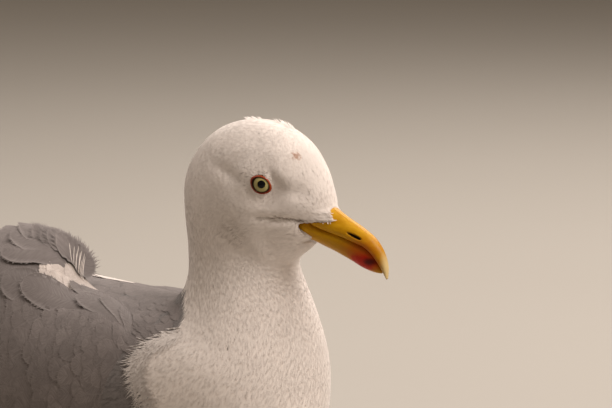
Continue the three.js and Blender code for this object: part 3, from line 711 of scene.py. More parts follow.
def skin_patch(name, rows, fields):
    """The part of the skin between these rows, with what its coat needs."""
    area = slice(*rows)
    place = SKIN["place"][area]
    row, column = mesh_grid(np.linspace(0, 1 - PATCH, len(place)),
                            np.linspace(0, 1 - PATCH, SKIN_SIDES + 1))
    attributes = {"skin_normal": SKIN["normal"][area].reshape(-1, 3),
                  "flow": SKIN["flow"][area].reshape(-1, 3),
                  "depth": SKIN["depth"][area].ravel() * MM,
                  "unwrap": np.stack([column, row, 0 * row], -1).reshape(-1, 3)}
    flat = place.reshape(-1, 3)
    given = fields(flat, SKIN["t"][area].ravel(), attributes["flow"], attributes["skin_normal"])
    for key, values in given.items():
        attributes[key] = np.broadcast_to(values, (len(flat),) + np.shape(values)[1:])
    faces = turned_patch(flat, grid_faces(*place.shape[:2]), attributes["skin_normal"])
    return make_mesh(name, flat, faces, attributes)


def turned_patch(points, faces, normals):
    corners = points[faces]
    facing = np.cross(corners[:, 1] - corners[:, 0], corners[:, 2] - corners[:, 0])
    return faces if (facing * normals[faces[:, 0]]).sum() > 0 else faces[:, ::-1]


def plumage_from(patch, tree, material, settings):
    """The tufts that a node tree grows on a patch, as a plain mesh of its own."""
    modifier = patch.modifiers.new("coat", "NODES")
    modifier.node_group = tree
    named = {s.name: s.identifier for s in tree.interface.items_tree
             if s.item_type == "SOCKET" and s.in_out == "INPUT"}
    for key, value in {**settings, "Plumage": material}.items():
        modifier[named[key]] = value
    patch.update_tag()
    graph = bpy.context.evaluated_depsgraph_get()
    mesh = bpy.data.meshes.new_from_object(patch.evaluated_get(graph), depsgraph=graph)
    mesh.name = patch.name
    patch.modifiers.remove(modifier)
    old = patch.data
    patch.data = mesh
    bpy.data.meshes.remove(old)
    return patch


def stand_on_floor(mesh):
    """Feathers that would reach under the floor are pressed flat on it."""
    points = np.zeros(len(mesh.vertices) * 3, np.float32)
    mesh.vertices.foreach_get("co", points)
    points = points.reshape(-1, 3) / MM - [FORWARD, 0, 0]
    points[:, 2] = np.maximum(points[:, 2], FLOOR_LAYER)
    placed = (points + [FORWARD, 0, 0]) * MM
    mesh.vertices.foreach_set("co", placed.astype(np.float32).ravel())
    mesh.update()


def soften(mesh, share):
    """Turns the shading of tufts towards that of the skin under them."""
    own = np.zeros(len(mesh.vertices) * 3, np.float32)
    mesh.vertex_normals.foreach_get("vector", own)
    own = own.reshape(-1, 3)
    under = read_attribute(mesh, "under", 3)
    own *= np.where((own * under).sum(1, keepdims=True) < 0, -1, 1)
    mesh.normals_split_custom_set_from_vertices(unit(own * (1 - share) + under * share))


def lay_map(mesh):
    """The map OFBake: each tuft a small patch at its root's place on the unwrapped skin."""
    unwrap, leaf = read_attribute(mesh, "unwrap", 3), read_attribute(mesh, "leaf", 3)
    spot = unwrap[:, :2] + np.column_stack([leaf[:, 0], leaf[:, 1] + 0.5]) * PATCH
    loops = np.zeros(len(mesh.loops), np.int32)
    mesh.loops.foreach_get("vertex_index", loops)
    layer = mesh.uv_layers.new(name="OFBake")
    layer.data.foreach_set("uv", spot[loops].astype(np.float32).ravel())


COAT_TREE = coat_tree("tufts along the coat")


def row_at(t):
    return int(np.searchsorted(SKIN_PLACES, t))


def grow_coat(name, places, fields, tuft, spacing, seed, stray, soft):
    """One piece of the coat, rooted between two places along the skin. The collar is all white."""
    rows = (max(row_at(places[0]) - MARGIN, 0), min(row_at(places[1]) + MARGIN, len(SKIN_PLACES)))

    def inside(points, t, flow, normals):
        given = fields(points, t, flow, normals)
        given["density"] = given["density"] * (t >= places[0]) * (t < places[1])
        return given

    patch = skin_patch(f"coat_{name}", rows, inside)
    piece = plumage_from(patch, COAT_TREE, PLUMAGE,
                         {"Spacing": spacing * MM, "Seed": seed, "Tuft": tuft, "Stray": stray})
    mesh = piece.data
    root = read_attribute(mesh, "root", 3) / MM - [FORWARD, 0, 0]
    ragged = (read_attribute(mesh, "tint", 1) - 0.5) * RAGGED
    reach = read_attribute(mesh, "length", 1)[:, None] / MM * SEEN_AT
    seen = root + read_attribute(mesh, "flow", 3) * reach
    grey = grey_share(seen + np.column_stack([ragged, 0 * ragged, ragged / 2]))
    add_attribute(mesh, "grey", grey * (fields is not collar_fields))
    # dark carries the painted shade of the gape fold and the ear streaks
    add_attribute(mesh, "dark", gape_shade_and_ear_streaks(root))
    stand_on_floor(mesh)
    lay_map(mesh)
    soften(mesh, soft)
    for key in GROWING:
        if key in mesh.attributes:
            mesh.attributes.remove(mesh.attributes[key])
    finish_piece(piece, PLUMAGE)


# ---------- plumage colours ----------
WHITE = (0.84, 0.77, 0.725, 1)
WHITE_ROOT = (0.80, 0.725, 0.675, 1)
GREY = (0.225, 0.205, 0.20, 1)
GREY_ROOT = (0.10, 0.088, 0.085, 1)
STAIN = {"x": 97.5, "y": -10.6, "z": 190.4, "reach": 5.2, "colour": (0.38, 0.16, 0.07, 1)}
# Painted shade along the gape fold, also the colour of the ear streaks
GAPE_SHADE_AND_EAR_STREAK_COLOUR = (0.16, 0.105, 0.07, 1)
FLESH = ("head", "neck", "breast", "belly", "back", "rump")  # what the skin stands for


def stain_share(tree):
    """1 in the middle of the small rusty stain on the crown, ragged towards its edge."""
    middle = ((STAIN["x"] + FORWARD) * MM, STAIN["y"] * MM, STAIN["z"] * MM)
    away = add(tree, "ShaderNodeVectorMath", {0: in_object(tree), 1: middle},
               operation="DISTANCE")
    far = maths(tree, "DIVIDE", away.outputs["Value"], STAIN["reach"] * MM)
    ragged = plus(tree, far, times(tree, noise(tree, 650, detail=3), 1.3))
    return span(tree, ragged, 1.35, 0.75, 0.0, 0.7)


def plumage_material(name, bed=False):
    """White and grey feathers, each paler towards its tip; as a bed, the down under them."""
    material, tree, shader = new_material(
        name, Roughness=0.82, Sheen_Weight=0.25, Sheen_Roughness=0.5, Specular_IOR_Level=0.25)
    grey = read(tree, "grey")
    if bed:
        share = noise(tree, 900, detail=2)
        tint = noise(tree, 300, detail=2)
    else:
        leaf = split(tree, read(tree, "leaf", "Vector"))
        share = span(tree, leaf[0], 0.1, 0.75)
        tint = read(tree, "tint")
    white = blend_colours(tree, share, WHITE_ROOT, WHITE)
    dark = blend_colours(tree, share, GREY_ROOT, GREY)
    # the gape fold's darkening is painted shade; the ear streaks share its colour
    colour = layered(tree, blend_colours(tree, grey, white, dark),
                     (stain_share(tree), STAIN["colour"]), (read(tree, "dark"), GAPE_SHADE_AND_EAR_STREAK_COLOUR))
    level = span(tree, tint, 0.0, 1.0, 0.95, 1.03, "LINEAR")
    wide = span(tree, noise(tree, 60, detail=3), 0.3, 0.7, 0.95, 1.03, "LINEAR")
    level = times(tree, level, wide)
    wire(tree, shader, {"Base Color": scaled(tree, colour, level)})
    if bed:
        wire(tree, shader, {"Normal": raised(tree, noise(tree, 1200), 0.4, 0.0005)})
    return material


PLUMAGE = plumage_material("plumage")
SKIN_COAT = plumage_material("down over the skin", bed=True)


def dress_skin():
    points, faces = ring_mesh(SKIN["place"][:, :-1])
    # dark carries the painted shade of the gape fold and the ear streaks
    solid("skin", points, faces, {"grey": grey_share(points), "dark": gape_shade_and_ear_streaks(points)},
          SKIN_COAT, FLESH)


dress_skin()

FINE_TUFT = leaf_object(
    "fine tuft", [(0, 0.1, 0.4, 2), (0.3, 0.42, 0.8, 4), (0.6, 0.5, 0.96, 6)],
    [(0.88, 0.98), (0.96, 1.0), (1.0, 1.03), (0.95, 1.0), (0.86, 0.98)])
LONG_TUFT = leaf_object(
    "long tuft", [(0, 0.1, 0.74, 2), (0.3, 0.42, 0.93, 5), (0.58, 0.5, 0.98, 8)],
    [(0.8, 0.99), (0.9, 0.998), (0.97, 1.003), (1.0, 1.01), (0.96, 1.004), (0.91, 0.998),
     (0.78, 0.99)])


# Tufts: length and width in mm, how far they stand up, in radians.
FACE = {"round_bill": (2.6, 4.2), "round_eyes": (3.0, 4.2), "bare": 1.04}  # what the finest cover
HEAD_TUFTS = {"length": 6.2, "longer_behind": 1.6, "small": 2.6, "width": 0.27, "stand": 0.10}
LORES_TUFTS = {"length": 2.6, "width": 0.55, "stand": 0.24}
LORES = {"low": (147.5, 149), "top": (157.5, 163), "fade": 1.5, "ends": 0.45, "aside": 4.5}
CROWN_TUFTS = {"length": 4.8, "width": 0.5, "stand": 0.27}
CROWN = {"above": 200.5, "y": 2, "half": 6, "groups": 0.9}
EAR_TUFTS = {"length": 5.0, "width": 0.9, "stand": 0.06}
COLLAR_TUFTS = {"length": 9.0, "width": 0.34, "stand": 0.03}
COLLAR = {"starts": (-2, 1), "ends": (5, 9), "above": 50, "fades": (92, 99), "raise": 0.8}
BODY_TUFTS = np.array([[9, 8], [12, 9], [14, 11], [23, 19]])  # their length at places along the body


def tufts(density, length, width, stand=0.0, **more):
    """What a patch of skin tells the tufts that grow on it: sizes given in mm."""
    return {"length": length * MM, "width": width * MM, "stand": stand, "density": density, **more}


def face_share(points, t):
    """1 on the face, round the eyes and the bill, 0 on the rest of the head."""
    return np.maximum(1 - smooth(t, *FACE["round_bill"]),
                      1 - smooth(from_eyes(points), *FACE["round_eyes"]))


def head_fields(on_face):
    """Tufts that are smallest round the eyes and the bill, on the face or on the rest."""
    def fields(points, t, flow, normals):
        eye = from_eyes(points)
        small = np.maximum(1 - smooth(eye, 1.2, 4.0), 1 - smooth(t, 0.3, 4.5))
        length = HEAD_TUFTS["length"] + HEAD_TUFTS["longer_behind"] * smooth(t, 6, 9.5)
        length = length * (1 - small) + HEAD_TUFTS["small"] * small
        at_bill = (1 - smooth(t, 0.4, 1.6)) * smooth(np.abs(points[:, 1]), 4, 8)
        here = (face_share(points, t) > 0.5) == on_face
        return tufts(here * (eye > FACE["bare"]), length, length * HEAD_TUFTS["width"],
                     HEAD_TUFTS["stand"] * at_bill)
    return fields


def body_fields(share):
    """Tufts that grow longer towards the tail, with a width that is a share of their length."""
    def fields(points, t, flow, normals):
        length = np.interp(t, BODY_TUFTS[:, 0], BODY_TUFTS[:, 1])
        return tufts(1.0, length, length * share)
    return fields


def lores_fields(points, t, flow, normals):
    """Short rough feathers that stand every way round the base of the bill."""
    z = points[:, 2]
    top = np.where(points[:, 1] > 0, *LORES["top"])
    edge = smooth(z, *LORES["low"]) * (1 - smooth(z, top, top + LORES["fade"]))
    ahead = np.array([0.93, 0, -0.36])
    ahead = unit(ahead - normals * (normals @ ahead)[:, None])
    here = edge * (t < LORES["ends"]) * (np.abs(points[:, 1]) > LORES["aside"])
    return tufts(here, **LORES_TUFTS, flow=np.where(t[:, None] < 0.4, ahead, flow))


def crown_fields(points, t, flow, normals):
    """A few small groups of feathers that stand off the crown."""
    groups = np.sin(points[:, 0] * 0.31 + 1.1) + np.sin(points[:, 1] * 0.5 + 0.4)
    aside = np.abs(points[:, 1] - CROWN["y"])
    here = (points[:, 2] > CROWN["above"]) * (groups > CROWN["groups"]) * (aside < CROWN["half"])
    return tufts(here, **CROWN_TUFTS)


def ear_fields(points, t, flow, normals):
    """Ruffled feathers behind the gape, where the ear coverts carry dark streaks."""
    behind, above = points[:, 0] - EAR["x"], points[:, 2] - EAR["z"]
    return tufts(1.0 * (np.hypot(behind / EAR["long"], above / EAR["high"]) < 1), **EAR_TUFTS)


def collar_fields(points, t, flow, normals):
    """White feathers that lie loosely over the front edge of the grey."""
    z = points[:, 2]
    ahead = points[:, 0] - np.interp(z, GREY_FRONT[:, 0], GREY_FRONT[:, 1])
    here = smooth(ahead, *COLLAR["starts"]) * (1 - smooth(ahead, *COLLAR["ends"]))
    here = here * (z > COLLAR["above"]) * (1 - smooth(z, *COLLAR["fades"]))
    return tufts(here, **COLLAR_TUFTS, depth=(COLLAR["raise"] + depth_at(t)) * MM)


# The coat's pieces: where their roots lie along the body, what tufts they have, how far apart,
# the seed, how far they stray, and how much of their shading is the skin's.
COAT = (
    ("face", (0, 7), head_fields(True), FINE_TUFT, 0.62, 3, 0.16, 0.95),
    ("head", (0, 9.5), head_fields(False), FINE_TUFT, 0.95, 4, 0.16, 0.93),
    ("lores", (0, 1), lores_fields, FINE_TUFT, 0.75, 13, 0.6, 0.8),
    ("crown", (3, 8), crown_fields, FINE_TUFT, 1.3, 14, 0.4, 0.9),
    ("ears", (3, 7), ear_fields, FINE_TUFT, 1.2, 15, 0.35, 0.7),
    ("collar", (9.5, 17), collar_fields, LONG_TUFT, 0.5, 17, 0.7, 0.98),
    ("neck", (9.5, 12.5), body_fields(0.22), LONG_TUFT, 1.1, 5, 0.16, 0.97),
    ("breast_front", (12.5, 14.2), body_fields(0.25), LONG_TUFT, 1.4, 7, 0.16, 0.97),
    ("breast_low", (14.2, 16), body_fields(0.25), LONG_TUFT, 1.4, 8, 0.16, 0.97),
    ("belly", (16, 23.1), body_fields(0.3), LONG_TUFT, 2.7, 9, 0.16, 0.8),
)
for row in COAT:
    grow_coat(*row)


# ---------- bill ----------
TUCK = 1.3  # how far the lower half reaches up inside the edges of the upper one
TUCK_ENDS = (8.5, 10)  # the sections over which that ends towards the tip
# The nostril colour is painted shade inside the nostril openings.
HORN = {"deep yellow": (0.50, 0.235, 0.002, 1), "yellow": (0.60, 0.31, 0.004, 1),
        "low": (0.37, 0.17, 0.003, 1), "smear": (0.42, 0.070, 0.002, 1),
        "red": (0.42, 0.014, 0.001, 1), "mark": (0.085, 0.006, 0.003, 1),
        "tip": (0.72, 0.60, 0.33, 1), "nostril": (0.012, 0.008, 0.005, 1)}
# The red spot, its smear on to the upper half and the dark mark in it: x and z of the middle, half
# length, half height and how soft the edge is.
SMEAR = (134.5, 142.5, 8.5, 5.5, 0.8)
RED_SPOT = (136, 136.6, 8.5, 4.8, 0.45)
DARK_MARK = (140.0, 137.4, 3.0, 1.9, 0.6)


def bill_half(half, sections, rings, sides):
    """Half of the bill: the lower one reaches up inside the upper, which has the nostrils."""
    t, turn = mesh_grid(np.linspace(0, len(sections) - 1, rings), turns(sides))
    grid = section_point(sections, t, turn)
    if half == "lower":
        grid[..., 2] += TUCK * smooth(np.cos(turn), -0.2, 0.9) * (1 - smooth(t, *TUCK_ENDS))
    x, y, z = np.moveaxis(grid, -1, 0)
    slit = 0 * x
    if half == "upper":
        normals = grid_normals(grid, True)
        normals *= np.sign(((grid - grid.mean(1, keepdims=True)) * normals).sum())
        c, s = math.cos(NOSTRIL["fall"]), math.sin(NOSTRIL["fall"])
        a = ((x - NOSTRIL["x"]) * c - (z - NOSTRIL["z"]) * s) / (NOSTRIL["length"] / 2)
        b = ((z - NOSTRIL["z"]) * c + (x - NOSTRIL["x"]) * s) / (NOSTRIL["height"] / 2)
        slit = (1 - smooth(np.hypot(a, b * (1.35 - 0.45 * a)), 0.75, 1.1)) * (np.abs(y) > 2)
        grid = grid - normals * (slit * NOSTRIL["deep"])[..., None]
    points, faces = ring_mesh(grid)
    # slit also carries the painted shade of the nostril openings
    solid(f"bill_{half}_horn", points, faces, {"slit": np.append(slit.ravel(), [0, 0])},
          BILL_HORN, (f"bill_{half}",))


def bill_material():
    """Yellow horn with a red spot at the gonys, a small dark mark and a pale tip."""
    material, tree, shader = new_material("bill horn", Roughness=0.4, Specular_IOR_Level=0.17,
                                          Coat_Weight=0.05, Coat_Roughness=0.25)
    place = in_object(tree)
    x, _, z = split(tree, place)
    x = plus(tree, x, -FORWARD * MM)
    grain = noise(tree, 420, detail=4)
    stretch = add(tree, "ShaderNodeMapping", {"Vector": place, "Scale": (90, 400, 400),
                                              "Rotation": (0, 0.55, 0)})
    streak = noise(tree, 1.0, stretch.outputs[0], detail=4)

    def spot(middle_x, middle_z, long, high, soft):
        a = maths(tree, "DIVIDE", minus(tree, x, middle_x * MM), long * MM)
        b = maths(tree, "DIVIDE", minus(tree, z, middle_z * MM), high * MM)
        far = maths(tree, "SQRT", plus(tree, times(tree, a, a), times(tree, b, b)))
        ragged = plus(tree, far, times(tree, grain, 0.5))
        return span(tree, ragged, 1.25 + soft, 1.25 - soft)

    yellow = blend_colours(tree, span(tree, streak, 0.3, 0.7), HORN["deep yellow"],
                           HORN["yellow"])
    colour = layered(tree, yellow,
                     (times(tree, span(tree, z, 0.155, 0.138), 0.5), HORN["low"]),
                     (times(tree, spot(*SMEAR), 0.85), HORN["smear"]),
                     (spot(*RED_SPOT), HORN["red"]),
                     (spot(*DARK_MARK), HORN["mark"]),
                     (times(tree, span(tree, x, 0.1455, 0.1495), 0.7), HORN["tip"]),
                     # painted shade in the nostrils
                     (read(tree, "slit"), HORN["nostril"]))
    wire(tree, shader, {"Base Color": colour,
                        "Roughness": span(tree, streak, 0.3, 0.7, 0.34, 0.5),
                        "Normal": raised(tree, streak, 0.12, 0.0004)})
    return material


BILL_HORN = bill_material()
bill_half("upper", UPPER_BILL, 120, 96)
bill_half("lower", LOWER_BILL, 90, 72)


# ---------- eyes ----------
CORNEA = {"reach": 5.0, "bulge": 0.55}
EYE_COLOURS = {"ray": (0.29, 0.25, 0.095, 1), "iris": (0.47, 0.42, 0.20, 1),
               "inner": (0.34, 0.29, 0.10, 1), "rim": (0.045, 0.03, 0.015, 1),
               "pupil": (0.004, 0.004, 0.005, 1)}
# inner is painted shade where the ring meets the eyeball
RING_COLOURS = {"bead": (0.40, 0.075, 0.008, 1), "between": (0.24, 0.028, 0.004, 1),
                "inner": (0.045, 0.005, 0.003, 1)}


def iris_material():
    """Pale yellow iris with fine rays, a dark rim and the pupil, under a wet gloss."""
    material, tree, shader = new_material("iris", Roughness=0.25, Specular_IOR_Level=0.1,
                                          Coat_Weight=0.12, Coat_Roughness=0.02)
    ring = read(tree, "from_axis")
    rays = joined(tree, times(tree, read(tree, "around"), 14.0), times(tree, ring, 1.5))
    ray = noise(tree, 3.0, rays, detail=5, rough=0.7)
    colour = blend_colours(tree, span(tree, ray, 0.3, 0.7), EYE_COLOURS["ray"],
                           EYE_COLOURS["iris"])
    inner = span(tree, ring, PUPIL + 0.1, PUPIL + 0.9)
    colour = layered(tree, blend_colours(tree, inner, EYE_COLOURS["inner"], colour),
                     (span(tree, ring, IRIS - 0.55, IRIS), EYE_COLOURS["rim"]),
                     (span(tree, ring, PUPIL + 0.12, PUPIL - 0.06), EYE_COLOURS["pupil"]))
    wire(tree, shader, {"Base Color": colour})
    return material


def lid_material():
    """The bare ring: orange-red skin, with painted shade in dark red where it meets the eyeball."""
    material, tree, shader = new_material("eye ring", Roughness=0.5, Specular_IOR_Level=0.2,
                                          Subsurface_Weight=0.05, Subsurface_Scale=0.001)
    beads = add(tree, "ShaderNodeTexVoronoi", {"Scale": 1500.0, "Vector": in_object(tree)})
    bead = beads.outputs["Distance"]
    colour = blend_colours(tree, span(tree, bead, 0.0, 0.7), RING_COLOURS["bead"],
                           RING_COLOURS["between"])
    # painted shade on the ring's inner side, where it meets the eyeball
    colour = blend_colours(tree, read(tree, "inner"), colour, RING_COLOURS["inner"])
    wire(tree, shader, {"Base Color": colour, "Normal": raised(tree, bead, 0.5, 0.0002)})
    return material


IRIS_GLOSS = iris_material()
LID_SKIN = lid_material()


def eyeball(name, side):
    """The ball with its clear bulge, its pole on the line of gaze."""
    centre, axis, long_way, _ = eye_frame(side)
    axis = unit(axis + GAZE)
    short_way = unit(np.cross(axis, long_way))
    long_way = np.cross(short_way, axis)
    pole = 0.02  # where the rings stop short of the poles
    tilt = np.linspace(pole, math.pi - pole, 72) ** 1.25
    tilt, turn = mesh_grid(tilt / tilt[-1] * (math.pi - pole), turns(72))
    front = tilt < math.pi / 2
    away = EYE["radius"] * np.sin(tilt)
    bulge = CORNEA["bulge"] * (1 - smooth(away, 0, CORNEA["reach"])) * front
    direction = (axis * np.cos(tilt)[..., None]
                 + long_way * (np.sin(tilt) * np.cos(turn))[..., None]
                 + short_way * (np.sin(tilt) * np.sin(turn))[..., None])
    points, faces = ring_mesh(centre + direction * (EYE["radius"] + bulge)[..., None])
    behind = 2 * EYE["radius"]
    attributes = {"from_axis": np.append(np.where(front, away, behind).ravel(), [0, behind]),
                  "around": np.append(np.abs(turn.ravel() - math.pi), [0, 0])}
    solid(f"eye_{name}_ball", points, faces, attributes, IRIS_GLOSS, (f"eye_{name}",))


def eye_ring(name, side):
    """The bare ring: an oval roll over the ball, wider at its two corners."""
    centre, axis, long_way, short_way = eye_frame(side)
    steps, sides = 96, 14
    turn, roll = mesh_grid(turns(steps), turns(sides))
    corner = np.abs(np.cos(turn)) ** 6
    tube = RING["tube"] * (0.92 + 0.10 * corner)
    p = RING["long"] * np.cos(turn)
    q = RING["short"] * np.sin(turn) * np.abs(np.sin(turn)) ** 0.3
    away = np.hypot(p, q)
    inwards = 1.0 + 0.9 * (np.cos(roll) < 0) * corner
    out = tube * np.cos(roll) * inwards
    stand = np.sqrt((EYE["radius"] + 0.25) ** 2 - np.minimum(away + out, 7.0) ** 2)
    stand = stand + tube * (0.55 + 0.75 * np.sin(roll))
    scale = (away + out) / away
    grid = (centre + long_way * (p * scale)[..., None] + short_way * (q * scale)[..., None]
            + axis * stand[..., None])
    points = grid.reshape(-1, 3)
    faces = grid_faces(steps + 1, sides, True) % len(points)
    # inner marks the ring's inner side, painted with shade where it meets the eyeball
    solid(f"eye_ring_{name}_skin", points, [faces],
          {"inner": smooth(-np.cos(roll), -0.1, 0.75).ravel()}, LID_SKIN,
          (f"eye_ring_{name}",))


for name, side in SIDES:
    eyeball(name, side)
    eye_ring(name, side)


# ---------- wings ----------
WING_TURNS = np.linspace(0, len(WING_SECTIONS) - 1, 1201)
WING_X = along(WING_SECTIONS, WING_TURNS)[:, 0]
# The left shoulder lies a little lower than its plan, over these shares and distances back.
SINK = {"deep": 3.2, "shares": (0.5, 0.85), "starts": (0, 35), "ends": (95, 135)}
# The wing tips cross: each moves towards the other side, and the right one lies over the left.
CROSSING = {"over": (190, 340), "aside": 5.0, "lift": {1: -2.5, -1: 5.0}}
PAST_TOP = 0.15  # how steeply the surface falls where it is carried on past its upper edge
# The share where scapulars meet coverts, how far it falls towards the tail, and between where.
SEAM = {"share": 0.6, "fall": 0.14, "over": (17.0, -150.0)}
ALL_GREY = 16  # behind this every feather of the wing is grey
BEND_BLEND = (-6, 22)  # the feathers of the wing's bend go over to the body between these
BODY_MIDDLE = np.array([-20.0, 0.0, 70.0])
OVER_COAT = 0.3  # how far the wing's first feathers lie off the body's coat


def ruffle(x):
    rise = smooth(-x, *RUFFLE["rise"])
    return RUFFLE["height"] * rise * (1 - smooth(-x, *RUFFLE["settle"]))


def wing_arc(x, share, side):
    """The folded wing's surface for shares from 0, its lower edge, to 1, its upper one."""
    _, ly, lz, uy, uz, power = np.moveaxis(
        along(WING_SECTIONS, np.interp(-x, -WING_X, WING_TURNS)), -1, 0)
    turn = np.clip(share, 0, 1) * math.pi / 2
    y = uy + (ly - uy) * np.cos(turn) ** power
    z = lz + (uz - lz) * np.sin(turn) ** power
    if side < 0:
        z = z + ruffle(x) * np.clip(share, 0, 1) ** 2
    return np.stack([x + 0 * y, y, z], -1)


def arc_lengths():
    """The wing's width over its surface at places along it."""
    places = np.linspace(WING_SECTIONS[0, 0], WING_SECTIONS[-1, 0], 60)
    shares = np.linspace(0, 1, 41)
    points = wing_arc(places[:, None] + 0 * shares, shares + 0 * places[:, None], 1)
    return places, np.linalg.norm(np.diff(points, axis=1), axis=-1).sum(1)


ARC_PLACES, ARC_LENGTHS = arc_lengths()


def arc_at(x):
    return np.interp(-x, -ARC_PLACES, ARC_LENGTHS)


def wing_surface(x, share, side):
    """The same, carried on past its edges, with the tips crossed over the tail."""
    points = wing_arc(x, share, side)
    past_top = np.maximum(share - 1, 0) * arc_at(x)
    points[..., 1] -= past_top
    points[..., 2] -= PAST_TOP * past_top + np.maximum(-share, 0) * arc_at(x)
    if side > 0:
        sunk = smooth(share, *SINK["shares"]) * smooth(-x, *SINK["starts"])
        points[..., 2] -= SINK["deep"] * sunk * (1 - smooth(-x, *SINK["ends"]))
    crossed = smooth(-x, *CROSSING["over"])
    points[..., 1] -= CROSSING["aside"] * crossed
    points[..., 2] += CROSSING["lift"][side] * crossed
    points[..., 1] *= side
    return points


def wing_point(x, share, height, side):
    """A point that stands a height off the wing's surface, and the surface's normal there."""
    back = wing_surface(x - 1.5, share, side) - wing_surface(x + 1.5, share, side)
    low, high = np.clip(share - 0.02, 0.001, 0.94), np.clip(share + 0.02, 0.06, 0.999)
    up = wing_surface(x, high, side) - wing_surface(x, low, side)
    normal = unit(np.cross(back, up)) * side
    return wing_surface(x, share, side) + normal * np.asarray(height)[..., None], normal


SKIN_TREE = BVHTree.FromPolygons(SKIN["place"][:, :-1].reshape(-1, 3).tolist(),
                                 grid_faces(len(SKIN_PLACES), SKIN_SIDES, True).tolist())


def on_body(points, height):
    """The nearest places of the coat's surface, raised by a height, and their normals."""
    flat = points.reshape(-1, 3)
    found, facing, deep = np.empty_like(flat), np.empty_like(flat), np.empty(len(flat))
    depths = SKIN["depth"][:, 0]
    for k, point in enumerate(flat):
        spot, normal, face, _ = SKIN_TREE.find_nearest(Vector(point))
        found[k], facing[k], deep[k] = spot, normal, depths[face // SKIN_SIDES]
    facing *= np.where(((found - BODY_MIDDLE) * facing).sum(1, keepdims=True) < 0, -1, 1)
    raise_by = (np.broadcast_to(height, points.shape[:-1]).ravel() + deep + OVER_COAT)[:, None]
    return (found + facing * raise_by).reshape(points.shape), facing.reshape(points.shape)


def wing_ground(side):
    """How feathers lie on a folded wing: root x and share, then back and up from it in mm."""
    def place(x, share, back, up, height):
        x = x - back
        points, normals = wing_point(x, share + up / arc_at(x), height, side)
        front = np.broadcast_to(smooth(x, *BEND_BLEND), points.shape[:-1])
        near = front > 0
        if near.any():
            body, facing = on_body(points[near], np.broadcast_to(height, near.shape)[near])
            blend = front[near][:, None]
            points[near] = points[near] * (1 - blend) + body * blend
            normals[near] = unit(normals[near] * (1 - blend) + facing * blend)
        return points, normals
    return place


def skin_value(field, t, turn):
    """A field of the skin between its points, at places t and turns round it."""
    row = np.interp(t, SKIN_PLACES, np.arange(len(SKIN_PLACES)))
    column = (turn - math.pi) / (2 * math.pi) * SKIN_SIDES
    i = np.clip(np.floor(row).astype(int), 0, len(SKIN_PLACES) - 2)
    j = np.clip(np.floor(column).astype(int), 0, SKIN_SIDES - 1)
    a, b = (row - i), (column - j)
    if field.ndim == 3:
        a, b = a[..., None], b[..., None]
    low = field[i, j] * (1 - b) + field[i, j + 1] * b
    high = field[i + 1, j] * (1 - b) + field[i + 1, j + 1] * b
    return low * (1 - a) + high * a


def body_ground(t, turn, back, up, height):
    """How feathers lie on the body: root place and turn, then back and round it in mm."""
    step = 0.05
    here = skin_value(SKIN["place"], t, turn)
    along_it = np.linalg.norm(skin_value(SKIN["place"], t + step, turn) - here, axis=-1) / step
    round_it = np.linalg.norm(skin_value(SKIN["place"], t, turn + step) - here, axis=-1) / step
    t = t + back / np.maximum(along_it, 1)
    turn = turn + up / np.maximum(round_it, 1)
    normals = unit(skin_value(SKIN["normal"], t, turn))
    raised_by = skin_value(SKIN["depth"], t, turn) + height
    return skin_value(SKIN["place"], t, turn) + normals * raised_by[..., None], normals


TAIL = {"root": -165, "tip": -288, "half": 37.0, "height": 79.0, "fall": 8.0, "arch": 0.006}


def tail_ground(x, y, back, up, height):
    """How feathers lie in the fan of the tail, which opens towards its end."""
    u = np.clip(back / (TAIL["root"] - TAIL["tip"]), 0, 1.1)
    across = (y + 0 * u) * (0.6 + 0.4 * u) + up
    z = TAIL["height"] - TAIL["fall"] * u - TAIL["arch"] * across**2 + height
    points = np.stack([x - back + 0 * z, across, z], -1)
    normals = unit(np.stack([0 * z - 0.065, 2 * TAIL["arch"] * across, 1 + 0 * z], -1))
    return points, normals


# The shape of a plain feather: how it slants, how high its root and its tip lie, how far the tip
# curls up, where its white end starts (past 1, nowhere), how much it varies, how far its edges
# droop and how far its root strays.
PLAIN = {"slope": 0.0, "low": -1.2, "high": 0.1, "curl": 0.0, "tip": 2.0, "jitter": 0.05,
         "cup": 1.0, "scatter": 0.05}
VANE_ROWS, VANE_COLUMNS = 11, 7
QUILL = 0.28  # thickness of a vane along its middle
DROOP = 0.04  # how far a vane's edges droop, as a share of its width
TIP_BOW = 0.07  # how much sooner a white end starts at the vane's sides, to follow its round tip
# The loose barbs round each vane: how many, how much of its length they take up, how much denser
# they grow towards the tip, how they lean forward and stray, how low they lie and how far their
# points stray up and down, and the width of a vane that has them at their full length.
BARBS = 40
BARB = {"over": 0.62, "crowd": 1.7, "lean": 0.9, "stray": 0.25, "drop": 0.05, "rise": 0.12,
        "wide": 16}


class Feathers:
    """The feathers of a piece, with the chance that makes no two of them alike."""

    def __init__(self, seed):
        self.rows = []
        self.random = np.random.default_rng(seed)

    def add(self, x, share, length, width, **shape):
        """A feather by its root, size and shape. A value may be a function of the root."""
        f = {key: value(x, share) if callable(value) else value
             for key, value in {**PLAIN, **shape}.items()}
        r = self.random.uniform(-1, 1, 6)
        jitter = f["jitter"]
        self.rows.append({**f, "x": x + r[0] * length * f["scatter"], "share": share,
                          "length": length * (1 + r[1] * jitter),
                          "width": width * (1 + r[2] * jitter),
                          "slope": f["slope"] + r[3] * jitter, "high": f["high"] + r[4] * 0.12,
                          "tint": 0.5 + r[5] * 0.5})

    def add_all(self, roots, **shape):
        for x, share in roots:
            self.add(x, share, **shape)

    def values(self):
        """Each of the feathers' values as an array, with a row for each feather."""
        return {key: np.array([row[key] for row in self.rows])[:, None, None]
                for key in self.rows[0]}


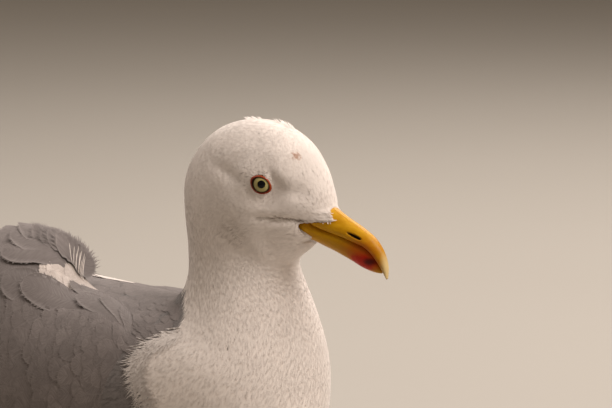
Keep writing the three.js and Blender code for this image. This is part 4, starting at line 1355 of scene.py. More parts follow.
def outline(u, round_from=0.62):
    """Half the width of a vane at u along it, as a share of its widest."""
    start = 0.42 + 0.58 * np.sin(np.clip(u / 0.5, 0, 1) * math.pi / 2)
    past = np.clip((u - round_from) / (1 - round_from), 0, 1)
    return start * np.sqrt(np.maximum(1 - past**2.3, 0))


def lay(f, ground, a, b, height):
    """Points at a along and b across each feather, in mm, a height off its ground."""
    c, s = np.cos(f["slope"]), np.sin(f["slope"])
    return ground(f["x"] + 0 * a, f["share"] + 0 * a, a * c - b * s, a * s + b * c, height)


def vane_height(f, u, v, w):
    """How high a vane stands: its root low, its tip high, its edges drooping a little."""
    u = np.clip(u, 0, 1.1)
    rise = f["low"] + (f["high"] - f["low"]) * u**0.8
    return rise + f["curl"] * u**2 - f["cup"] * DROOP * f["width"] * (v * w) ** 2


def sheet_faces(rows, columns):
    """The faces of a thin sheet: its upper side, its lower side and the rim between them."""
    size = rows * columns
    grid = grid_faces(rows, columns)
    edge = np.concatenate([np.arange(columns), np.arange(1, rows) * columns + columns - 1,
                           np.arange(columns - 2, -1, -1) + (rows - 1) * columns,
                           np.arange(rows - 2, 0, -1) * columns])
    after = np.roll(edge, -1)
    rim = np.stack([edge, after, after + size, edge + size], -1)
    return np.concatenate([grid, grid[:, ::-1] + size, rim[:, ::-1]])


def vanes(name, feathers, ground, material, fringe=1.3, tip_shape=0.62,
          islands=False, soft=0.6, replaces=()):
    """A piece of vanes, each a thin closed sheet with loose barbs round its outer half."""
    f = feathers.values()
    count, size = len(feathers.rows), VANE_ROWS * VANE_COLUMNS
    u = 1 - (1 - np.linspace(0, 1, VANE_ROWS)) ** 1.5
    u, v = (np.broadcast_to(g, (count, VANE_ROWS, VANE_COLUMNS))
            for g in mesh_grid(u, np.linspace(-1, 1, VANE_COLUMNS)))
    w = np.maximum(outline(u, tip_shape), 0.03)
    top, normals = lay(f, ground, u * f["length"], v * w * f["width"] / 2,
                       vane_height(f, u, v, w))
    thick = QUILL * (1 - 0.75 * np.abs(v)) * (1 - 0.6 * u)
    under = top - normals * thick[..., None]
    flat = (count, size, 3)
    sheets = np.concatenate([top.reshape(flat), under.reshape(flat)], 1)
    facing = np.concatenate([normals.reshape(flat), -normals.reshape(flat)], 1)
    leaf = np.concatenate([np.stack([u, v, 0 * u], -1).reshape(flat)] * 2, 1)
    barbs = loose_barbs(f, count, ground, fringe, tip_shape, feathers.random)
    points, leaf, facing = (np.concatenate([sheet.reshape(-1, 3), barb])
                            for sheet, barb in zip((sheets, leaf, facing), barbs))
    starts = np.arange(count)[:, None, None] * 2 * size
    quads = (sheet_faces(VANE_ROWS, VANE_COLUMNS)[None] + starts).reshape(-1, 4)
    triangles = np.arange(count * 2 * size, len(points)).reshape(-1, 3)
    corners = points[triangles]
    outward = np.cross(corners[:, 1] - corners[:, 0], corners[:, 2] - corners[:, 0])
    wrong = (outward * facing[triangles[:, 0]]).sum(1) < 0
    triangles[wrong] = triangles[wrong][:, ::-1]
    owner = np.concatenate([np.repeat(np.arange(count), 2 * size),
                            np.repeat(np.arange(count), 3 * BARBS)])
    attributes = {key: f[key].ravel()[owner] for key in ("tip", "tint", "length", "width")}
    piece = make_mesh(name, points, [*turned_out(points, [quads]), triangles],
                      {"leaf": leaf, "under": facing, **attributes},
                      {"OFBake": feather_map(f, leaf, owner, islands)})
    soften(piece.data, soft)
    piece.data.attributes.remove(piece.data.attributes["under"])
    finish_piece(piece, material, replaces)


def loose_barbs(f, count, ground, reach, tip_shape, random):
    """Thin points round the outer part of each vane, where its barbs have come apart: their
    corners, the places on the vane and the normals."""
    k = np.linspace(-1, 1, BARBS + 1)
    u, flank = 1 - BARB["over"] * np.abs(k) ** BARB["crowd"], np.sign(k)
    from_flank = np.where(flank[:-1] == 0, 1, flank[:-1])
    to_flank = np.where(flank[1:] == 0, -1, flank[1:])
    shape = (count, 1, BARBS)
    length, width = f["length"], f["width"]

    def spot(u, v):
        u = np.broadcast_to(u, shape)
        return u * length, v * np.maximum(outline(u, tip_shape), 0.0) * width / 2

    a0, b0 = spot(u[:-1], from_flank)
    a1, b1 = spot(u[1:], to_flank)
    edge = np.stack([a1 - a0, b1 - b0], -1)
    outward = unit(np.stack([-edge[..., 1], edge[..., 0]], -1))
    from_middle = np.stack([a0 - 0.6 * length, b0], -1)
    outward *= np.where((outward * from_middle).sum(-1) < 0, -1, 1)[..., None]
    aim = unit(outward + np.array([BARB["lean"], 0])
               + random.normal(0, BARB["stray"], outward.shape))
    far = reach * (0.25 + random.random(shape) ** 2) * np.minimum(width / BARB["wide"], 1)
    a = np.stack([a0, a1, (a0 + a1) / 2 + aim[..., 0] * far], -1).reshape(count, 1, -1)
    b = np.stack([b0, b1, (b0 + b1) / 2 + aim[..., 1] * far], -1).reshape(count, 1, -1)
    u, v = a / length, b / (width / 2)
    w = np.maximum(outline(np.clip(u, 0, 1), tip_shape), 0.1)
    height = vane_height(f, u, np.clip(v / w, -1.2, 1.2), w) - BARB["drop"]
    height = height + random.normal(0, BARB["rise"], height.shape) * np.tile([0, 0, 1], BARBS)
    points, normals = lay(f, ground, a, b, height)
    leaf = np.stack([np.clip(u, 0, 1), np.clip(v / w, -1, 1), 0 * u], -1)
    return points.reshape(-1, 3), leaf.reshape(-1, 3), normals.reshape(-1, 3)


def feather_map(f, leaf, owner, islands):
    """OFBake: small patches at the roots' places, or a cell for each feather with markings."""
    inside = np.column_stack([leaf[:, 0], leaf[:, 1] * 0.5 + 0.5])
    if islands:
        across = math.ceil(math.sqrt(len(f["x"])))
        corner = np.column_stack([owner % across, owner // across]) / across
        return corner + (inside * 0.9 + 0.05) / across
    x, share = f["x"].ravel(), f["share"].ravel()
    u = (x.max() - x) / (np.ptp(x) + 1e-9)
    v = (share - share.min()) / (np.ptp(share) + 1e-9)
    return np.column_stack([u, v])[owner] * (1 - PATCH) + inside * PATCH


def vane_material(name, pale, deep, rim, tip=WHITE, gloss=0.7):
    """One kind of large feather: fine barbs that slant from the shaft, a paler edge and, past
    the place called tip, an end of another colour."""
    material, tree, shader = new_material(name, Roughness=gloss, Sheen_Weight=0.1,
                                          Sheen_Roughness=0.5, Specular_IOR_Level=0.2)
    u, v, _ = split(tree, read(tree, "leaf", "Vector"))
    aside = maths(tree, "ABSOLUTE", v)
    mm_along = times(tree, u, read(tree, "length"))
    mm_across = times(tree, aside, read(tree, "width"))
    barb = minus(tree, mm_along, times(tree, mm_across, 0.42))
    tint = read(tree, "tint")
    strand = joined(tree, times(tree, barb, 1.6), times(tree, mm_across, 0.1),
                    times(tree, tint, 40.0))
    fibre = noise(tree, 1.0, strand, detail=3, rough=0.65)
    wide = noise(tree, 70, detail=3)
    edge = maths(tree, "MAXIMUM", span(tree, aside, 0.86, 1.0), span(tree, u, 0.95, 1.0))
    ragged = times(tree, minus(tree, fibre, 0.5), 0.06)
    bow = times(tree, times(tree, v, v), -TIP_BOW)
    start = plus(tree, plus(tree, read(tree, "tip"), ragged), bow)
    body = layered(tree, blend_colours(tree, span(tree, fibre, 0.3, 0.7), deep, pale),
                   (span(tree, wide, 0.35, 0.65, 0.0, 0.35), deep),
                   (span(tree, u, 0.75, 0.3, 0.0, 0.4), deep),
                   (times(tree, edge, 0.25), rim),
                   (times(tree, span(tree, mm_across, 0.9, 0.3), 0.3), deep),
                   (span(tree, minus(tree, u, start), -0.012, 0.012), tip))
    level = span(tree, tint, 0.0, 1.0, 0.9, 1.08, "LINEAR")
    wire(tree, shader, {"Base Color": scaled(tree, body, level),
                        "Normal": raised(tree, fibre, 0.3, 0.0003)})
    return material


MANTLE = vane_material("mantle grey", (0.246, 0.217, 0.210, 1), (0.162, 0.140, 0.134, 1),
                       (0.32, 0.285, 0.275, 1))
QUILL_BLACK = vane_material("wing tip black", (0.030, 0.026, 0.026, 1), (0.012, 0.011, 0.012, 1),
                            (0.05, 0.042, 0.04, 1), gloss=0.5)
QUILL_WHITE = vane_material("tail white", WHITE, WHITE_ROOT, WHITE)
DOWN_GREY = vane_material("down grey", (0.42, 0.385, 0.37, 1), (0.30, 0.27, 0.26, 1),
                          (0.5, 0.46, 0.44, 1))
# A darker copy of the white: painted shade for the down in the parted gap.
SHADED_DOWN_WHITE = vane_material("down white", (0.70, 0.63, 0.59, 1), (0.52, 0.45, 0.41, 1),
                           (0.74, 0.67, 0.63, 1), tip=(0.74, 0.67, 0.63, 1))


def seam_at(x):
    """The share where the scapulars meet the coverts."""
    first, last = SEAM["over"]
    return SEAM["share"] - SEAM["fall"] * np.clip((first - x) / (first - last), 0, 1)


def tract(feathers, x_from, x_to, lowest, highest, sizes, step, row_step, keep=None, **shape):
    """Rows of overlapping feathers between two shares: sizes holds their first and last lengths,
    then widths, and the steps are shares of a length and of a width."""
    rows, x = [], x_from
    while x > x_to:
        length = np.interp(x, [x_to, x_from], sizes[1::-1])
        rows.append((x, length, np.interp(x, [x_to, x_from], sizes[:1:-1])))
        x -= length * step
    for odd, (x, length, width) in reversed(list(enumerate(rows))):
        bottom, top = lowest(x), highest(x)
        across = max(int(round((top - bottom) * arc_at(x) / (width * row_step))), 1)
        for k in range(across + odd % 2):
            share = bottom + (top - bottom) * (k + (0.0 if odd % 2 else 0.5)) / across
            if keep is None or keep(x, share):
                feathers.add(x, share, length, width, **shape)


def in_grey(side):
    """Whether a feather rooted at a place on the wing's front lies in the mantle's grey."""
    def keep(x, share):
        if x < ALL_GREY:
            return True
        return bool(grey_share(wing_surface(np.array(x), np.array(share), side)) > 0.5)
    return keep


def covert_feathers(name, side):
    """Small coverts from the bend of the wing back, then larger ones."""
    coverts = Feathers(21 + side)
    loose = {"high": 0.0, "jitter": 0.12, "cup": 0.3}
    tract(coverts, 46, -50, lambda x: 0.03 - 0.18 * smooth(x, -15, 20),
          lambda x: seam_at(x) + 0.04, (11, 21, 9, 14), 0.3, 0.55, keep=in_grey(side), low=-0.8,
          scatter=0.45, **loose)
    tract(coverts, -46, -100, lambda x: 0.06, lambda x: seam_at(x) + 0.03, (23, 34, 14, 17),
          0.27, 0.55, low=-1.0, scatter=0.35, **loose)
    vanes(f"wing_{name}_covert_feathers", coverts, wing_ground(side), MANTLE, fringe=2.2,
          soft=0.93, replaces=(f"wing_{name}_coverts",))


# The feathers of the right shoulder that the wind has parted: root x and share, length, width,
# slope, how far the tip curls up, and how high it stands. They stand in for those of the tract
# whose roots lie between two places and above a share.
PARTED = [
    [33, 0.93, 34, 12, 0.03, 0.5, 0.2],
    [21, 0.90, 37, 14, 0.0, 1.3, 0.4],
    [8, 0.845, 40, 17, -0.10, 1.2, 0.8],
    [16, 0.965, 50, 9, -0.07, 0.3, 0.6],
    [4, 0.945, 44, 9, -0.12, 0.3, 0.8],
    [-7, 0.86, 60, 21.5, -0.36, 0.5, 1.2],
    [-34, 0.69, 40, 21, -0.12, 1.6, 0.5],
    [-43, 0.985, 46, 16, -0.42, 1.6, 1.0],
    [-43, 1.02, 46, 18, -0.20, 2.2, 1.4],
    [-42, 1.03, 44, 19, -0.02, 2.6, 1.8],
    [-48, 1.02, 40, 19, 0.10, 2.0, 2.0],
]
PARTED_OVER = {"from": -58, "to": 30, "above": 0.72}
# The wind lifts the scapulars behind them: where, from which shares, how much they turn and curl.
WIND = {"starts": (36, 60), "ends": (95, 140), "shares": (0.74, 0.9), "turn": 0.30, "curl": 2.0}
# Roots, x and share, of the white down in the gap, of its low end and of the crest over it.
DOWN_ROOTS = ((-12, 1.0), (-17, 0.99), (-21, 0.98), (-26, 0.965), (-30, 0.945), (-33, 0.925),
              (-35, 0.90), (-37, 0.87), (-31, 0.90), (-34, 0.86), (-30, 1.02), (-34, 1.01),
              (-39, 0.95), (-40, 0.92))
LOW_DOWN_ROOTS = ((-38, 0.85), (-40, 0.87))
CREST_ROOTS = ((-42, 0.995), (-45, 1.0), (-48, 0.985), (-51, 0.975), (-55, 0.965), (-59, 0.96),
               (-64, 0.96))


def wind(x, share):
    """How much the wind lifts a right scapular rooted here."""
    blown = smooth(-x, *WIND["starts"]) * (1 - smooth(-x, *WIND["ends"]))
    return blown * smooth(share, *WIND["shares"])


def scapular_feathers(name, side):
    """Scapulars from the shoulder back, parted and lifted by the wind on the right side."""
    lifted = 1 if side < 0 else 0

    def keep(x, share):
        parted = PARTED_OVER["from"] < x < PARTED_OVER["to"] and share > PARTED_OVER["above"]
        return in_grey(side)(x, share) and not (lifted and parted)

    scapulars = Feathers(51 + side)
    tract(scapulars, 44, -56, lambda x: seam_at(x) + 0.02, lambda x: 1.0, (10, 30, 8, 19), 0.38,
          0.55, keep=keep, low=-1.0, high=0.1, slope=-0.06, jitter=0.08, scatter=0.2)
    for x, share, length, width, slope, curl, high in PARTED[:len(PARTED) * lifted]:
        scapulars.add(x, share, length, width, slope=slope, low=-1.4, high=high, curl=curl,
                      jitter=0.02)
    tract(scapulars, -54, -108, lambda x: seam_at(x) + 0.03, lambda x: 1.02, (34, 44, 22, 25),
          0.28, 0.52, low=-1.8, high=0.8,
          slope=lambda x, share: -0.08 + WIND["turn"] * lifted * wind(x, share),
          curl=lambda x, share: WIND["curl"] * lifted * wind(x, share),
          tip=lambda x, share: 2.0 if x > -96 else 0.89)
    vanes(f"wing_{name}_scapular_feathers", scapulars, wing_ground(side), MANTLE, fringe=2.0,
          islands=True, replaces=(f"wing_{name}_scapulars",))


def shoulder_down():
    """The white down that shows where the right shoulder's feathers have parted, darker with painted
    shade.
    """
    down = Feathers(71)
    down.add_all(DOWN_ROOTS, length=17, width=10, slope=-0.45, low=-1.2, high=-0.7, cup=0.8)
    down.add_all(LOW_DOWN_ROOTS, length=19, width=6, slope=-0.35, low=-1.2, high=-0.8, cup=0.8)
    vanes("shoulder_down", down, wing_ground(-1), SHADED_DOWN_WHITE, fringe=2.4)


def far_shoulder_down():
    """One white feather that shows on top of the left shoulder."""
    sliver = Feathers(73)
    sliver.add(-36, 0.952, 33, 4.8, slope=0.01, low=0.4, high=1.2, cup=1.4)
    vanes("far_shoulder_down", sliver, wing_ground(1), QUILL_WHITE,
          fringe=1.6)


def shoulder_crest():
    """Loose grey barbs that stand up along the top of the lifted feathers."""
    crest = Feathers(72)
    crest.add_all(CREST_ROOTS, length=13, width=11, low=0.3, high=1.5, curl=5.0, cup=1.4,
                  slope=lambda x, share: np.interp(x, [-64, -42], [0.5, 1.0]))
    vanes("shoulder_crest", crest, wing_ground(-1), MANTLE, fringe=8.0, islands=True)


def shoulder_wisps():
    """A few white wisps among them."""
    wisps = Feathers(74)
    for x in np.linspace(-39, -47, 9):
        long, lean = wisps.random.uniform(4, 7), wisps.random.uniform(0.1, 0.6)
        wisps.add(x, 0.985, long, 0.35, slope=lean, low=0.2, high=3.0,
                  curl=wisps.random.uniform(3.5, 7.5), cup=0)
    vanes("shoulder_wisps", wisps, wing_ground(-1), QUILL_WHITE,
          fringe=0.3, islands=True)


# The primaries: where they start and end, the shares their bed covers, how far they taper.
PRIMARIES = {"root": -160, "tips": (-222, -250, -279, -309, -340), "low": 0.03, "high": 0.96,
             "taper": 14, "tuck": 6}
TERTIALS = ((-128, 0.55, 66, 24), (-128, 0.71, 57, 23), (-126, 0.87, 46, 21))  # root and size


def primary_seam(blades, x):
    """The share of the seam above a number of primaries, which rises towards their tips."""
    count = len(PRIMARIES["tips"])
    start = PRIMARIES["low"] + (PRIMARIES["high"] - PRIMARIES["low"]) * blades / count
    if blades in (0, count):
        return start + 0 * x
    end = PRIMARIES["tips"][count - 1 - blades] - PRIMARIES["taper"]
    passed = np.clip((PRIMARIES["root"] - x) / (PRIMARIES["root"] - end), 0, 1)
    return start + (PRIMARIES["high"] - start) * passed


def primary_ground(below, side):
    """How a primary lies between its seams, with a number of others below it."""
    def place(x, share, back, up, height):
        x = x - back
        low, high = primary_seam(below, x), primary_seam(below + 1, x)
        wanted = (low + high) / 2 + up * np.maximum(high - low, 0.25) * 1.25
        return wing_point(x, np.clip(wanted, 0.01, 0.985), height, side)
    return place


def primary_feathers(name, side):
    """Long narrow blades that cross over the tail, the longest lowest."""
    root = PRIMARIES["root"] + PRIMARIES["tuck"]
    for k, tip in enumerate(PRIMARIES["tips"]):
        below = len(PRIMARIES["tips"]) - 1 - k
        blade = Feathers(90 + k)
        blade.add(root, 0, root - tip, 1.0, low=-2.6 - 0.5 * below, high=-2.0 - 0.3 * below,
                  tip=0.955 if k else 0.94, jitter=0, cup=8.0)
        node = f"wing_{name}_primary_{6 + k}"
        vanes(f"{node}_feather", blade, primary_ground(below, side), QUILL_BLACK,
              fringe=0.0, tip_shape=0.86, islands=True, soft=0.4,
              replaces=(node,))


def flight_feathers(name, side):
    """Secondaries and tertials, whose white ends make the pale crescents."""
    quills = Feathers(61 + side)
    for k, share in enumerate(np.linspace(0.06, 0.44, 8)):
        quills.add(-128 - 0.6 * k, share, 54 - 3 * k, 15, slope=0.03, low=-2.6,
                   high=-1.4 + 0.08 * k, tip=0.87, jitter=0.02)
    for k, (x, share, length, width) in enumerate(TERTIALS):
        quills.add(x, share, length, width, slope=0.02, low=-1.6 + 0.2 * k, high=-0.3 + 0.5 * k,
                   tip=0.83, jitter=0.01)
    tertials = (f"wing_{name}_tertial_{k}" for k in (1, 2, 3))
    vanes(f"wing_{name}_flight_feathers", quills, wing_ground(side), MANTLE, fringe=1.2,
          islands=True, tip_shape=0.72, replaces=(f"wing_{name}_secondaries", *tertials))


def tail_feathers():
    """Twelve broad feathers, the middle ones longest and highest."""
    blades = Feathers(81)
    count = 12
    for k in range(count):
        across = (k + 0.5) / count * 2 - 1
        blades.add(TAIL["root"], across * (TAIL["half"] - 6),
                   TAIL["root"] - TAIL["tip"] - 4.0 * across**2, 15.5,
                   low=-0.6 - 0.5 * abs(across), high=0.5 - 1.0 * abs(across), jitter=0, cup=0.4)
    vanes("tail_feathers", blades, tail_ground, QUILL_WHITE, fringe=0.8,
          tip_shape=0.88, islands=True, soft=0.4,
          replaces=tuple(f"tail_feather_{k}" for k in range(1, 7)))


# The feathers of the back: the sections they cover, how large they are at each end, how far round
# they reach, their width and their steps as shares of their size.
BACK = {"from": 18.6, "to": 10.6, "sizes": (8, 26), "half_turn": 1.9, "width": 0.72,
        "aside": 0.42, "ahead": 0.38, "over_wing": 3, "free_from": 8, "above": 92}


def mantle_feathers():
    """Rows of small feathers over the grey of the back, which grow towards the tail."""
    mantle = Feathers(31)
    top, step, t = 2 * math.pi, 0.05, BACK["from"]
    while t > BACK["to"]:
        size = float(np.interp(t, [BACK["to"], BACK["from"]], BACK["sizes"]))
        arc = np.linspace(top - BACK["half_turn"], top + BACK["half_turn"], 200)
        ring = skin_value(SKIN["place"], np.full(200, t), arc)
        reach = np.concatenate([[0], np.cumsum(np.linalg.norm(np.diff(ring, axis=0), axis=1))])
        steps = np.arange(mantle.random.random() * size * 0.4, reach[-1], size * BACK["aside"])
        for turn in np.interp(steps, reach, arc):
            x, y, z = place = skin_value(SKIN["place"], np.array(t), np.array(turn))
            inner = np.interp(-x, -WING_SECTIONS[:, 0], WING_SECTIONS[:, 3])
            bare = abs(y) < inner + BACK["over_wing"] or x > BACK["free_from"]
            if grey_share(place) > 0.5 and bare and z > BACK["above"]:
                mantle.add(t, turn, size, size * BACK["width"], low=-0.4, high=0.4, jitter=0.04)
        here, ahead = (skin_value(SKIN["place"], np.array(at), np.array(top))
                       for at in (t, t - step))
        t -= size * BACK["ahead"] / (np.linalg.norm(ahead - here) / step)
    vanes("mantle_feathers", mantle, body_ground, MANTLE, fringe=1.0, soft=0.9)


# The wing under its feathers: where it starts and ends, how deep its outer side lies, how much
# deeper at the front, and its thickness.
BED = {"front": 4.0, "back": -184.0, "under": -2.4, "sunk": 3.5, "inside": -5.0, "thick": 5.0}
# The inner side of the lifted shoulder: how deep its top lies, where it meets the back, how far
# it sags, and how far its feathers reach over all of its height.
LINING = {"under": -2.6, "aside": 5.0, "height": 102.0, "sag": 1.0, "reach": 18.0}


def lining(x, fall):
    """From the right wing's upper edge (fall 0) down to the body's back (fall 1)."""
    top, _ = wing_point(x, 1 + 0 * x, LINING["under"], -1)
    back = np.stack([x, 0 * x - LINING["aside"], LINING["height"] + 0 * x], -1)
    sag = np.sin(fall * math.pi)[..., None] * [0, LINING["sag"], 0]
    return top + (back - top) * fall[..., None] + sag


def lining_ground(x, fall, back, up, height):
    """How feathers lie on it, with their upper sides towards the middle of the back."""
    x = x - back
    fall = np.clip(fall - up / LINING["reach"], 0, 1)
    here = lining(x, fall)
    lower = lining(x, np.clip(fall + 0.05, 0.06, 1.0)) - lining(x, np.minimum(fall, 0.94))
    normal = unit(np.cross(lower, lining(x - 1, fall) - here))
    normal *= np.where(normal[..., 1:2] < 0, -1, 1)
    return here + normal * np.asarray(height)[..., None], normal


def lining_feathers():
    """Loose pale down on the inner side of the lifted shoulder."""
    down = Feathers(75)
    for fall in (0.85, 0.6, 0.35, 0.12):
        for x in np.arange(-33, -112, -5.5):
            down.add(x, fall, 17, 11, slope=0.35, low=0.2, high=1.2, cup=1.5, scatter=0.2,
                     jitter=0.15)
    vanes("shoulder_lining", down, lining_ground, DOWN_GREY, fringe=4.0, soft=0.85)


def wing_bed(name, side):
    """The wing itself under its feathers: a closed smooth form."""
    front, back = BED["front"], BED["back"]
    x, share = mesh_grid(np.linspace(front, back, 60), np.linspace(0.02, 1.0, 24))
    full = np.sin(np.clip((x - back) / (front - back), 0, 1) * math.pi) ** 0.35
    full = full * np.sin(share * math.pi) ** 0.5
    outer, _ = wing_point(x, share, BED["under"] - BED["sunk"] * smooth(x, -30, front), side)
    inner, _ = wing_point(x, share, BED["inside"] - BED["thick"] * full, side)
    points, faces = ring_mesh(np.concatenate([outer, inner[:, ::-1]], 1))
    solid(f"wing_{name}_bed", points, faces, {"grey": np.ones(len(points))}, SKIN_COAT)


mantle_feathers()
for name, side in SIDES:
    wing_bed(name, side)
    covert_feathers(name, side)
    scapular_feathers(name, side)
    flight_feathers(name, side)
    primary_feathers(name, side)
shoulder_down()
far_shoulder_down()
shoulder_crest()
shoulder_wisps()
lining_feathers()
tail_feathers()


# ---------- legs ----------
LEGS = {"foot": -6, "aside": 24}  # where each tarsus meets its foot
TOES = ((54, 3, 2.4), (47, 12, 2.2), (40, -8, 2.1))  # length, sideways reach and radius
# Points of a toe: share of its length and of its reach, height, share of its radius.
TOE_PROFILE = ((0, 0.05, 4.2, 1.2), (0.3, 0.27, 3.4, 0.95), (0.55, 0.5, 3.0, 1),
               (0.8, 0.76, 2.5, 0.85), (1, 1, 2.4, 0.8))
# Points of a claw: distance past the toe, share of the reach, height and radius.
CLAW_PROFILE = ((1.8, 1.03, 2.4, 1.25), (4.5, 1.08, 2.5, 1.15), (7.0, 1.12, 2.1, 0.8),
                (9.3, 1.17, 1.0, 0.35))
# Points of the other limbs: forward and aside of the foot, height, radius and flatness.
TARSUS = ((-66, 3, 6.2, 4.4, 1), (-55, 3, 5.2, 3.4, 1), (-28, 1.5, 4.6, 3.0, 1.15),
          (-7, 0, 5.0, 3.6, 1))
HIND_TOE = ((1, -2, 3.6, 1.7, 1), (-1.5, -9, 2.2, 1.3, 1))
# The web: how far it stops short of the toes' ends, and where its two edges dip to.
WEB = {"thick": 1.2, "height": 0.6, "fold": 0.22, "short": 3, "outer_dip": (42, 6.5),
       "inner_dip": (38, -3)}


def from_foot(side, forward, aside, height):
    return np.stack([LEGS["foot"] + forward, side * (LEGS["aside"] + aside), height], -1)


def limb(route, side, steps):
    """Points, faces and leg places of a tapering limb with round ends."""
    rows = np.array(route, float)
    last = len(rows) - 1
    cap = np.linspace(0.12, math.pi / 2, 6)[:-1]
    t = np.concatenate([0 * cap, np.linspace(0, last, steps), last + 0 * cap])
    size = np.concatenate([np.sin(cap), np.ones(steps), np.sin(cap)[::-1]])
    shift = np.concatenate([-np.cos(cap), np.zeros(steps), np.cos(cap)[::-1]])
    forward, aside, height, radius, flat = along(rows, t).T
    step = 0.02
    ahead = unit(from_foot(side, *along(rows, np.minimum(t + step, last)).T[:3])
                 - from_foot(side, *along(rows, np.maximum(t - step, 0)).T[:3]))
    across = unit(np.cross([0, 0, 1], ahead))
    top = np.cross(ahead, across)
    centre = from_foot(side, forward, aside, height) + ahead * (shift * radius * 0.8)[:, None]
    turn = turns(24)[None, :, None]
    wide = (radius * size)[:, None, None]
    rings = (centre[:, None] + across[:, None] * np.cos(turn) * wide
             + top[:, None] * np.sin(turn) * wide * flat[:, None, None])
    points, faces = ring_mesh(rings)
    gone = np.concatenate([[0], np.cumsum(np.linalg.norm(np.diff(centre, axis=0), axis=1))])
    gone, upward = mesh_grid(gone, np.sin(turn).ravel())
    place = np.stack([gone, upward, 0 * upward], -1).reshape(-1, 3)
    place = np.concatenate([place, [[0, 0, 0], [gone[-1, 0], 0, 0]]])
    return points, turned_out(points, faces), place


def web_sheet(side):
    """The web between the toes: a thin sheet with shallow folds and two scalloped edges."""
    middle, outer, inner = (np.array([length - WEB["short"], reach]) for length, reach, _ in TOES)
    k = np.linspace(0, 1, 13)[:, None]

    def edge(a, dip, b):
        return a * (1 - k) ** 2 + np.array(dip) * 2 * k * (1 - k) + b * k * k

    rim = np.concatenate([edge(outer, WEB["outer_dip"], middle),
                          edge(middle, WEB["inner_dip"], inner)[1:]])
    out, fold = mesh_grid(np.linspace(0.03, 1, 14), np.linspace(0, 9 * math.pi, len(rim)))
    plan = np.array([1.0, 0.0]) * (1 - out)[..., None] + rim[None] * out[..., None]
    level = (WEB["height"] + WEB["thick"] / 2
             + WEB["fold"] * np.sin(fold) * np.sin(out * math.pi))
    thick = WEB["thick"] / 2 * (1 - 0.55 * out**3)
    points = np.concatenate([from_foot(side, plan[..., 0], plan[..., 1], level + sign * thick)
                             .reshape(-1, 3) for sign in (1, -1)])
    place = np.stack([out * 40, 0 * out, 1 + 0 * out], -1).reshape(-1, 3)
    return points, turned_out(points, [sheet_faces(*out.shape)]), np.tile(place, (2, 1))


def leg_piece(name, parts, material, node):
    """One piece made of limbs and sheets that each are a closed form."""
    points, quads, triangles, places = [], [], [], []
    for own, faces, place in parts:
        start = sum(len(p) for p in points)
        for f in faces:
            (quads if f.shape[1] == 4 else triangles).append(f + start)
        points.append(own)
        places.append(place)
    faces = [np.concatenate(group) for group in (quads, triangles) if group]
    piece = make_mesh(name, np.concatenate(points), faces, {"leg": np.concatenate(places)})
    finish_piece(piece, material, (node,))


def leg_material():
    """Yellow leathery skin: a row of scutes along the top, small round scales elsewhere."""
    material, tree, shader = new_material("leg skin", Roughness=0.5, Specular_IOR_Level=0.3,
                                          Subsurface_Weight=0.08, Subsurface_Scale=0.001)
    leg = split(tree, read(tree, "leg", "Vector"))
    band = maths(tree, "FRACT", times(tree, leg[0], 0.42))
    scute = times(tree, span(tree, band, 0.0, 0.16), span(tree, band, 1.0, 0.84))
    cells = add(tree, "ShaderNodeTexVoronoi", {"Scale": 1100.0, "Vector": in_object(tree)},
                feature="DISTANCE_TO_EDGE")
    scale = span(tree, cells.outputs["Distance"], 0.0, 0.16)
    on_top = times(tree, span(tree, leg[1], 0.25, 0.45),
                   minus(tree, 1.0, leg[2]))
    relief = add(tree, "ShaderNodeMix", data_type="FLOAT")
    wire(tree, relief, {0: on_top, 2: scale, 3: scute})
    relief = relief.outputs[0]
    mottled = noise(tree, 260, detail=4)
    colour = blend_colours(tree, span(tree, mottled, 0.3, 0.7), (0.60, 0.35, 0.035, 1),
                           (0.70, 0.46, 0.07, 1))
    colour = blend_colours(tree, span(tree, relief, 0.5, 0.0, 0.0, 0.75), colour,
                           (0.30, 0.16, 0.03, 1))
    wire(tree, shader, {"Base Color": colour,
                        "Roughness": span(tree, mottled, 0.3, 0.7, 0.42, 0.6),
                        "Normal": raised(tree, relief, 0.6, 0.0003)})
    return material


def claw_material():
    """Dark horn, paler at the root, with fine grain along the claw."""
    material, tree, shader = new_material("claw horn", Roughness=0.4, Specular_IOR_Level=0.4)
    leg = split(tree, read(tree, "leg", "Vector"))
    grain = noise(tree, 900, detail=4)
    colour = blend_colours(tree, grain, (0.018, 0.013, 0.010, 1), (0.045, 0.032, 0.024, 1))
    colour = blend_colours(tree, span(tree, leg[0], 2.6, 0.6, 0.0, 0.7), colour,
                           (0.22, 0.15, 0.07, 1))
    wire(tree, shader, {"Base Color": colour, "Normal": raised(tree, grain, 0.25, 0.0002)})
    return material


LEG_SKIN = leg_material()
CLAW_HORN = claw_material()


def leg(name, side):
    leg_piece(f"tarsus_{name}_skin", [limb(TARSUS, side, 40)], LEG_SKIN,
              f"tarsus_{name}")
    parts = [web_sheet(side), limb(HIND_TOE, side, 12)]
    for k, (length, reach, radius) in enumerate(TOES):
        toe = [(length * u, reach * v, height, radius * share, 1)
               for u, v, height, share in TOE_PROFILE]
        claw = [(length + past, reach * v, height, size, 1)
                for past, v, height, size in CLAW_PROFILE]
        parts.append(limb(toe, side, 40))
        leg_piece(f"claw_{name}_{k + 1}_horn", [limb(claw, side, 14)], CLAW_HORN,
                  f"claw_{name}_{k + 1}")
    leg_piece(f"foot_{name}_skin", parts, LEG_SKIN, f"foot_{name}")


for name, side in SIDES:
    leg(name, side)


# ---------- camera, light and floor ----------
AZIMUTH, ELEVATION = math.radians(36), math.radians(8)
FAR = 3.0  # from the camera to the plane of the head
SEEN = 0.32436  # the width that the camera sees there
FROM_EYE = (0.0228, -0.0109, -0.0202)  # the middle of the view from the right eye: aside, up, back


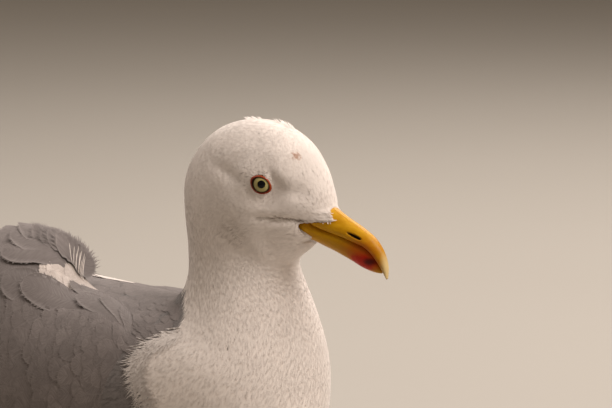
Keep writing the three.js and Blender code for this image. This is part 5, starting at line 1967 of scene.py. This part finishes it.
def aim_camera():
    back = Vector((math.sin(AZIMUTH) * math.cos(ELEVATION),
                   -math.cos(AZIMUTH) * math.cos(ELEVATION), math.sin(ELEVATION)))
    aside = Vector((math.cos(AZIMUTH), math.sin(AZIMUTH), 0))
    up = back.cross(aside)
    low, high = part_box("eye_right")
    middle = (low + high) / 2 + aside * FROM_EYE[0] + up * FROM_EYE[1] + back * FROM_EYE[2]
    data = bpy.data.cameras.new("camera")
    data.sensor_width = 36
    data.lens = data.sensor_width * FAR / SEEN
    data.clip_end = 60
    camera = bpy.data.objects.new("camera", data)
    camera.location = middle + back * FAR
    camera.rotation_mode = "QUATERNION"
    camera.rotation_quaternion = Matrix((aside, up, back)).transposed().to_quaternion()
    bpy.context.scene.collection.objects.link(camera)
    bpy.context.scene.camera = camera


def soft_light(name, place, size, power, colour):
    data = bpy.data.lights.new(name, "AREA")
    data.shape = "DISK"
    data.size = size
    data.energy = power
    data.color = colour
    lamp = bpy.data.objects.new(name, data)
    lamp.location = place
    lamp.rotation_mode = "QUATERNION"
    lamp.rotation_quaternion = (Vector(place) - LIT).to_track_quat("Z", "Y")
    bpy.context.scene.collection.objects.link(lamp)


# Place, size, power and colour of each lamp.
LAMPS = {
    "key": ((1.25, 0.15, 1.5), 1.2, 29, (1.0, 0.91, 0.84)),
    "front": ((1.8, 0.2, 0.8), 1.0, 5, (1.0, 0.90, 0.82)),
    "far": ((-0.1, 1.3, 1.4), 1.4, 24, (1.0, 0.92, 0.86)),
    "top": ((-0.7, -0.1, 1.9), 1.4, 16, (1.0, 0.92, 0.86)),
}
LIT = Vector((0.1, 0, 0.12))  # what the lamps point at
SKY, SKY_STRENGTH = (0.95, 0.74, 0.53, 1), 0.19


def light_stage():
    for name, lamp in LAMPS.items():
        soft_light(name, *lamp)
    world = bpy.data.worlds.new("studio")
    world.use_nodes = True
    sky = world.node_tree.nodes["Background"].inputs
    sky["Color"].default_value = SKY
    sky["Strength"].default_value = SKY_STRENGTH
    bpy.context.scene.world = world


def lay_floor():
    material, tree, shader = new_material("studio floor", Roughness=0.9)
    pale = blend_colours(tree, noise(tree, 1.5), (0.37, 0.345, 0.31, 1), (0.40, 0.375, 0.34, 1))
    wire(tree, shader, {"Base Color": pale})
    mesh = bpy.data.meshes.new("floor")
    reach = 30
    corners = [(x * reach, y * reach, 0) for x, y in ((-1, -1), (1, -1), (1, 1), (-1, 1))]
    mesh.from_pydata(corners, [], [(0, 1, 2, 3)])
    mesh.materials.append(material)
    floor = bpy.data.objects.new("floor", mesh)
    bpy.context.scene.collection.objects.link(floor)


aim_camera()
bpy.context.scene.view_settings.view_transform = "Standard"
light_stage()
lay_floor()
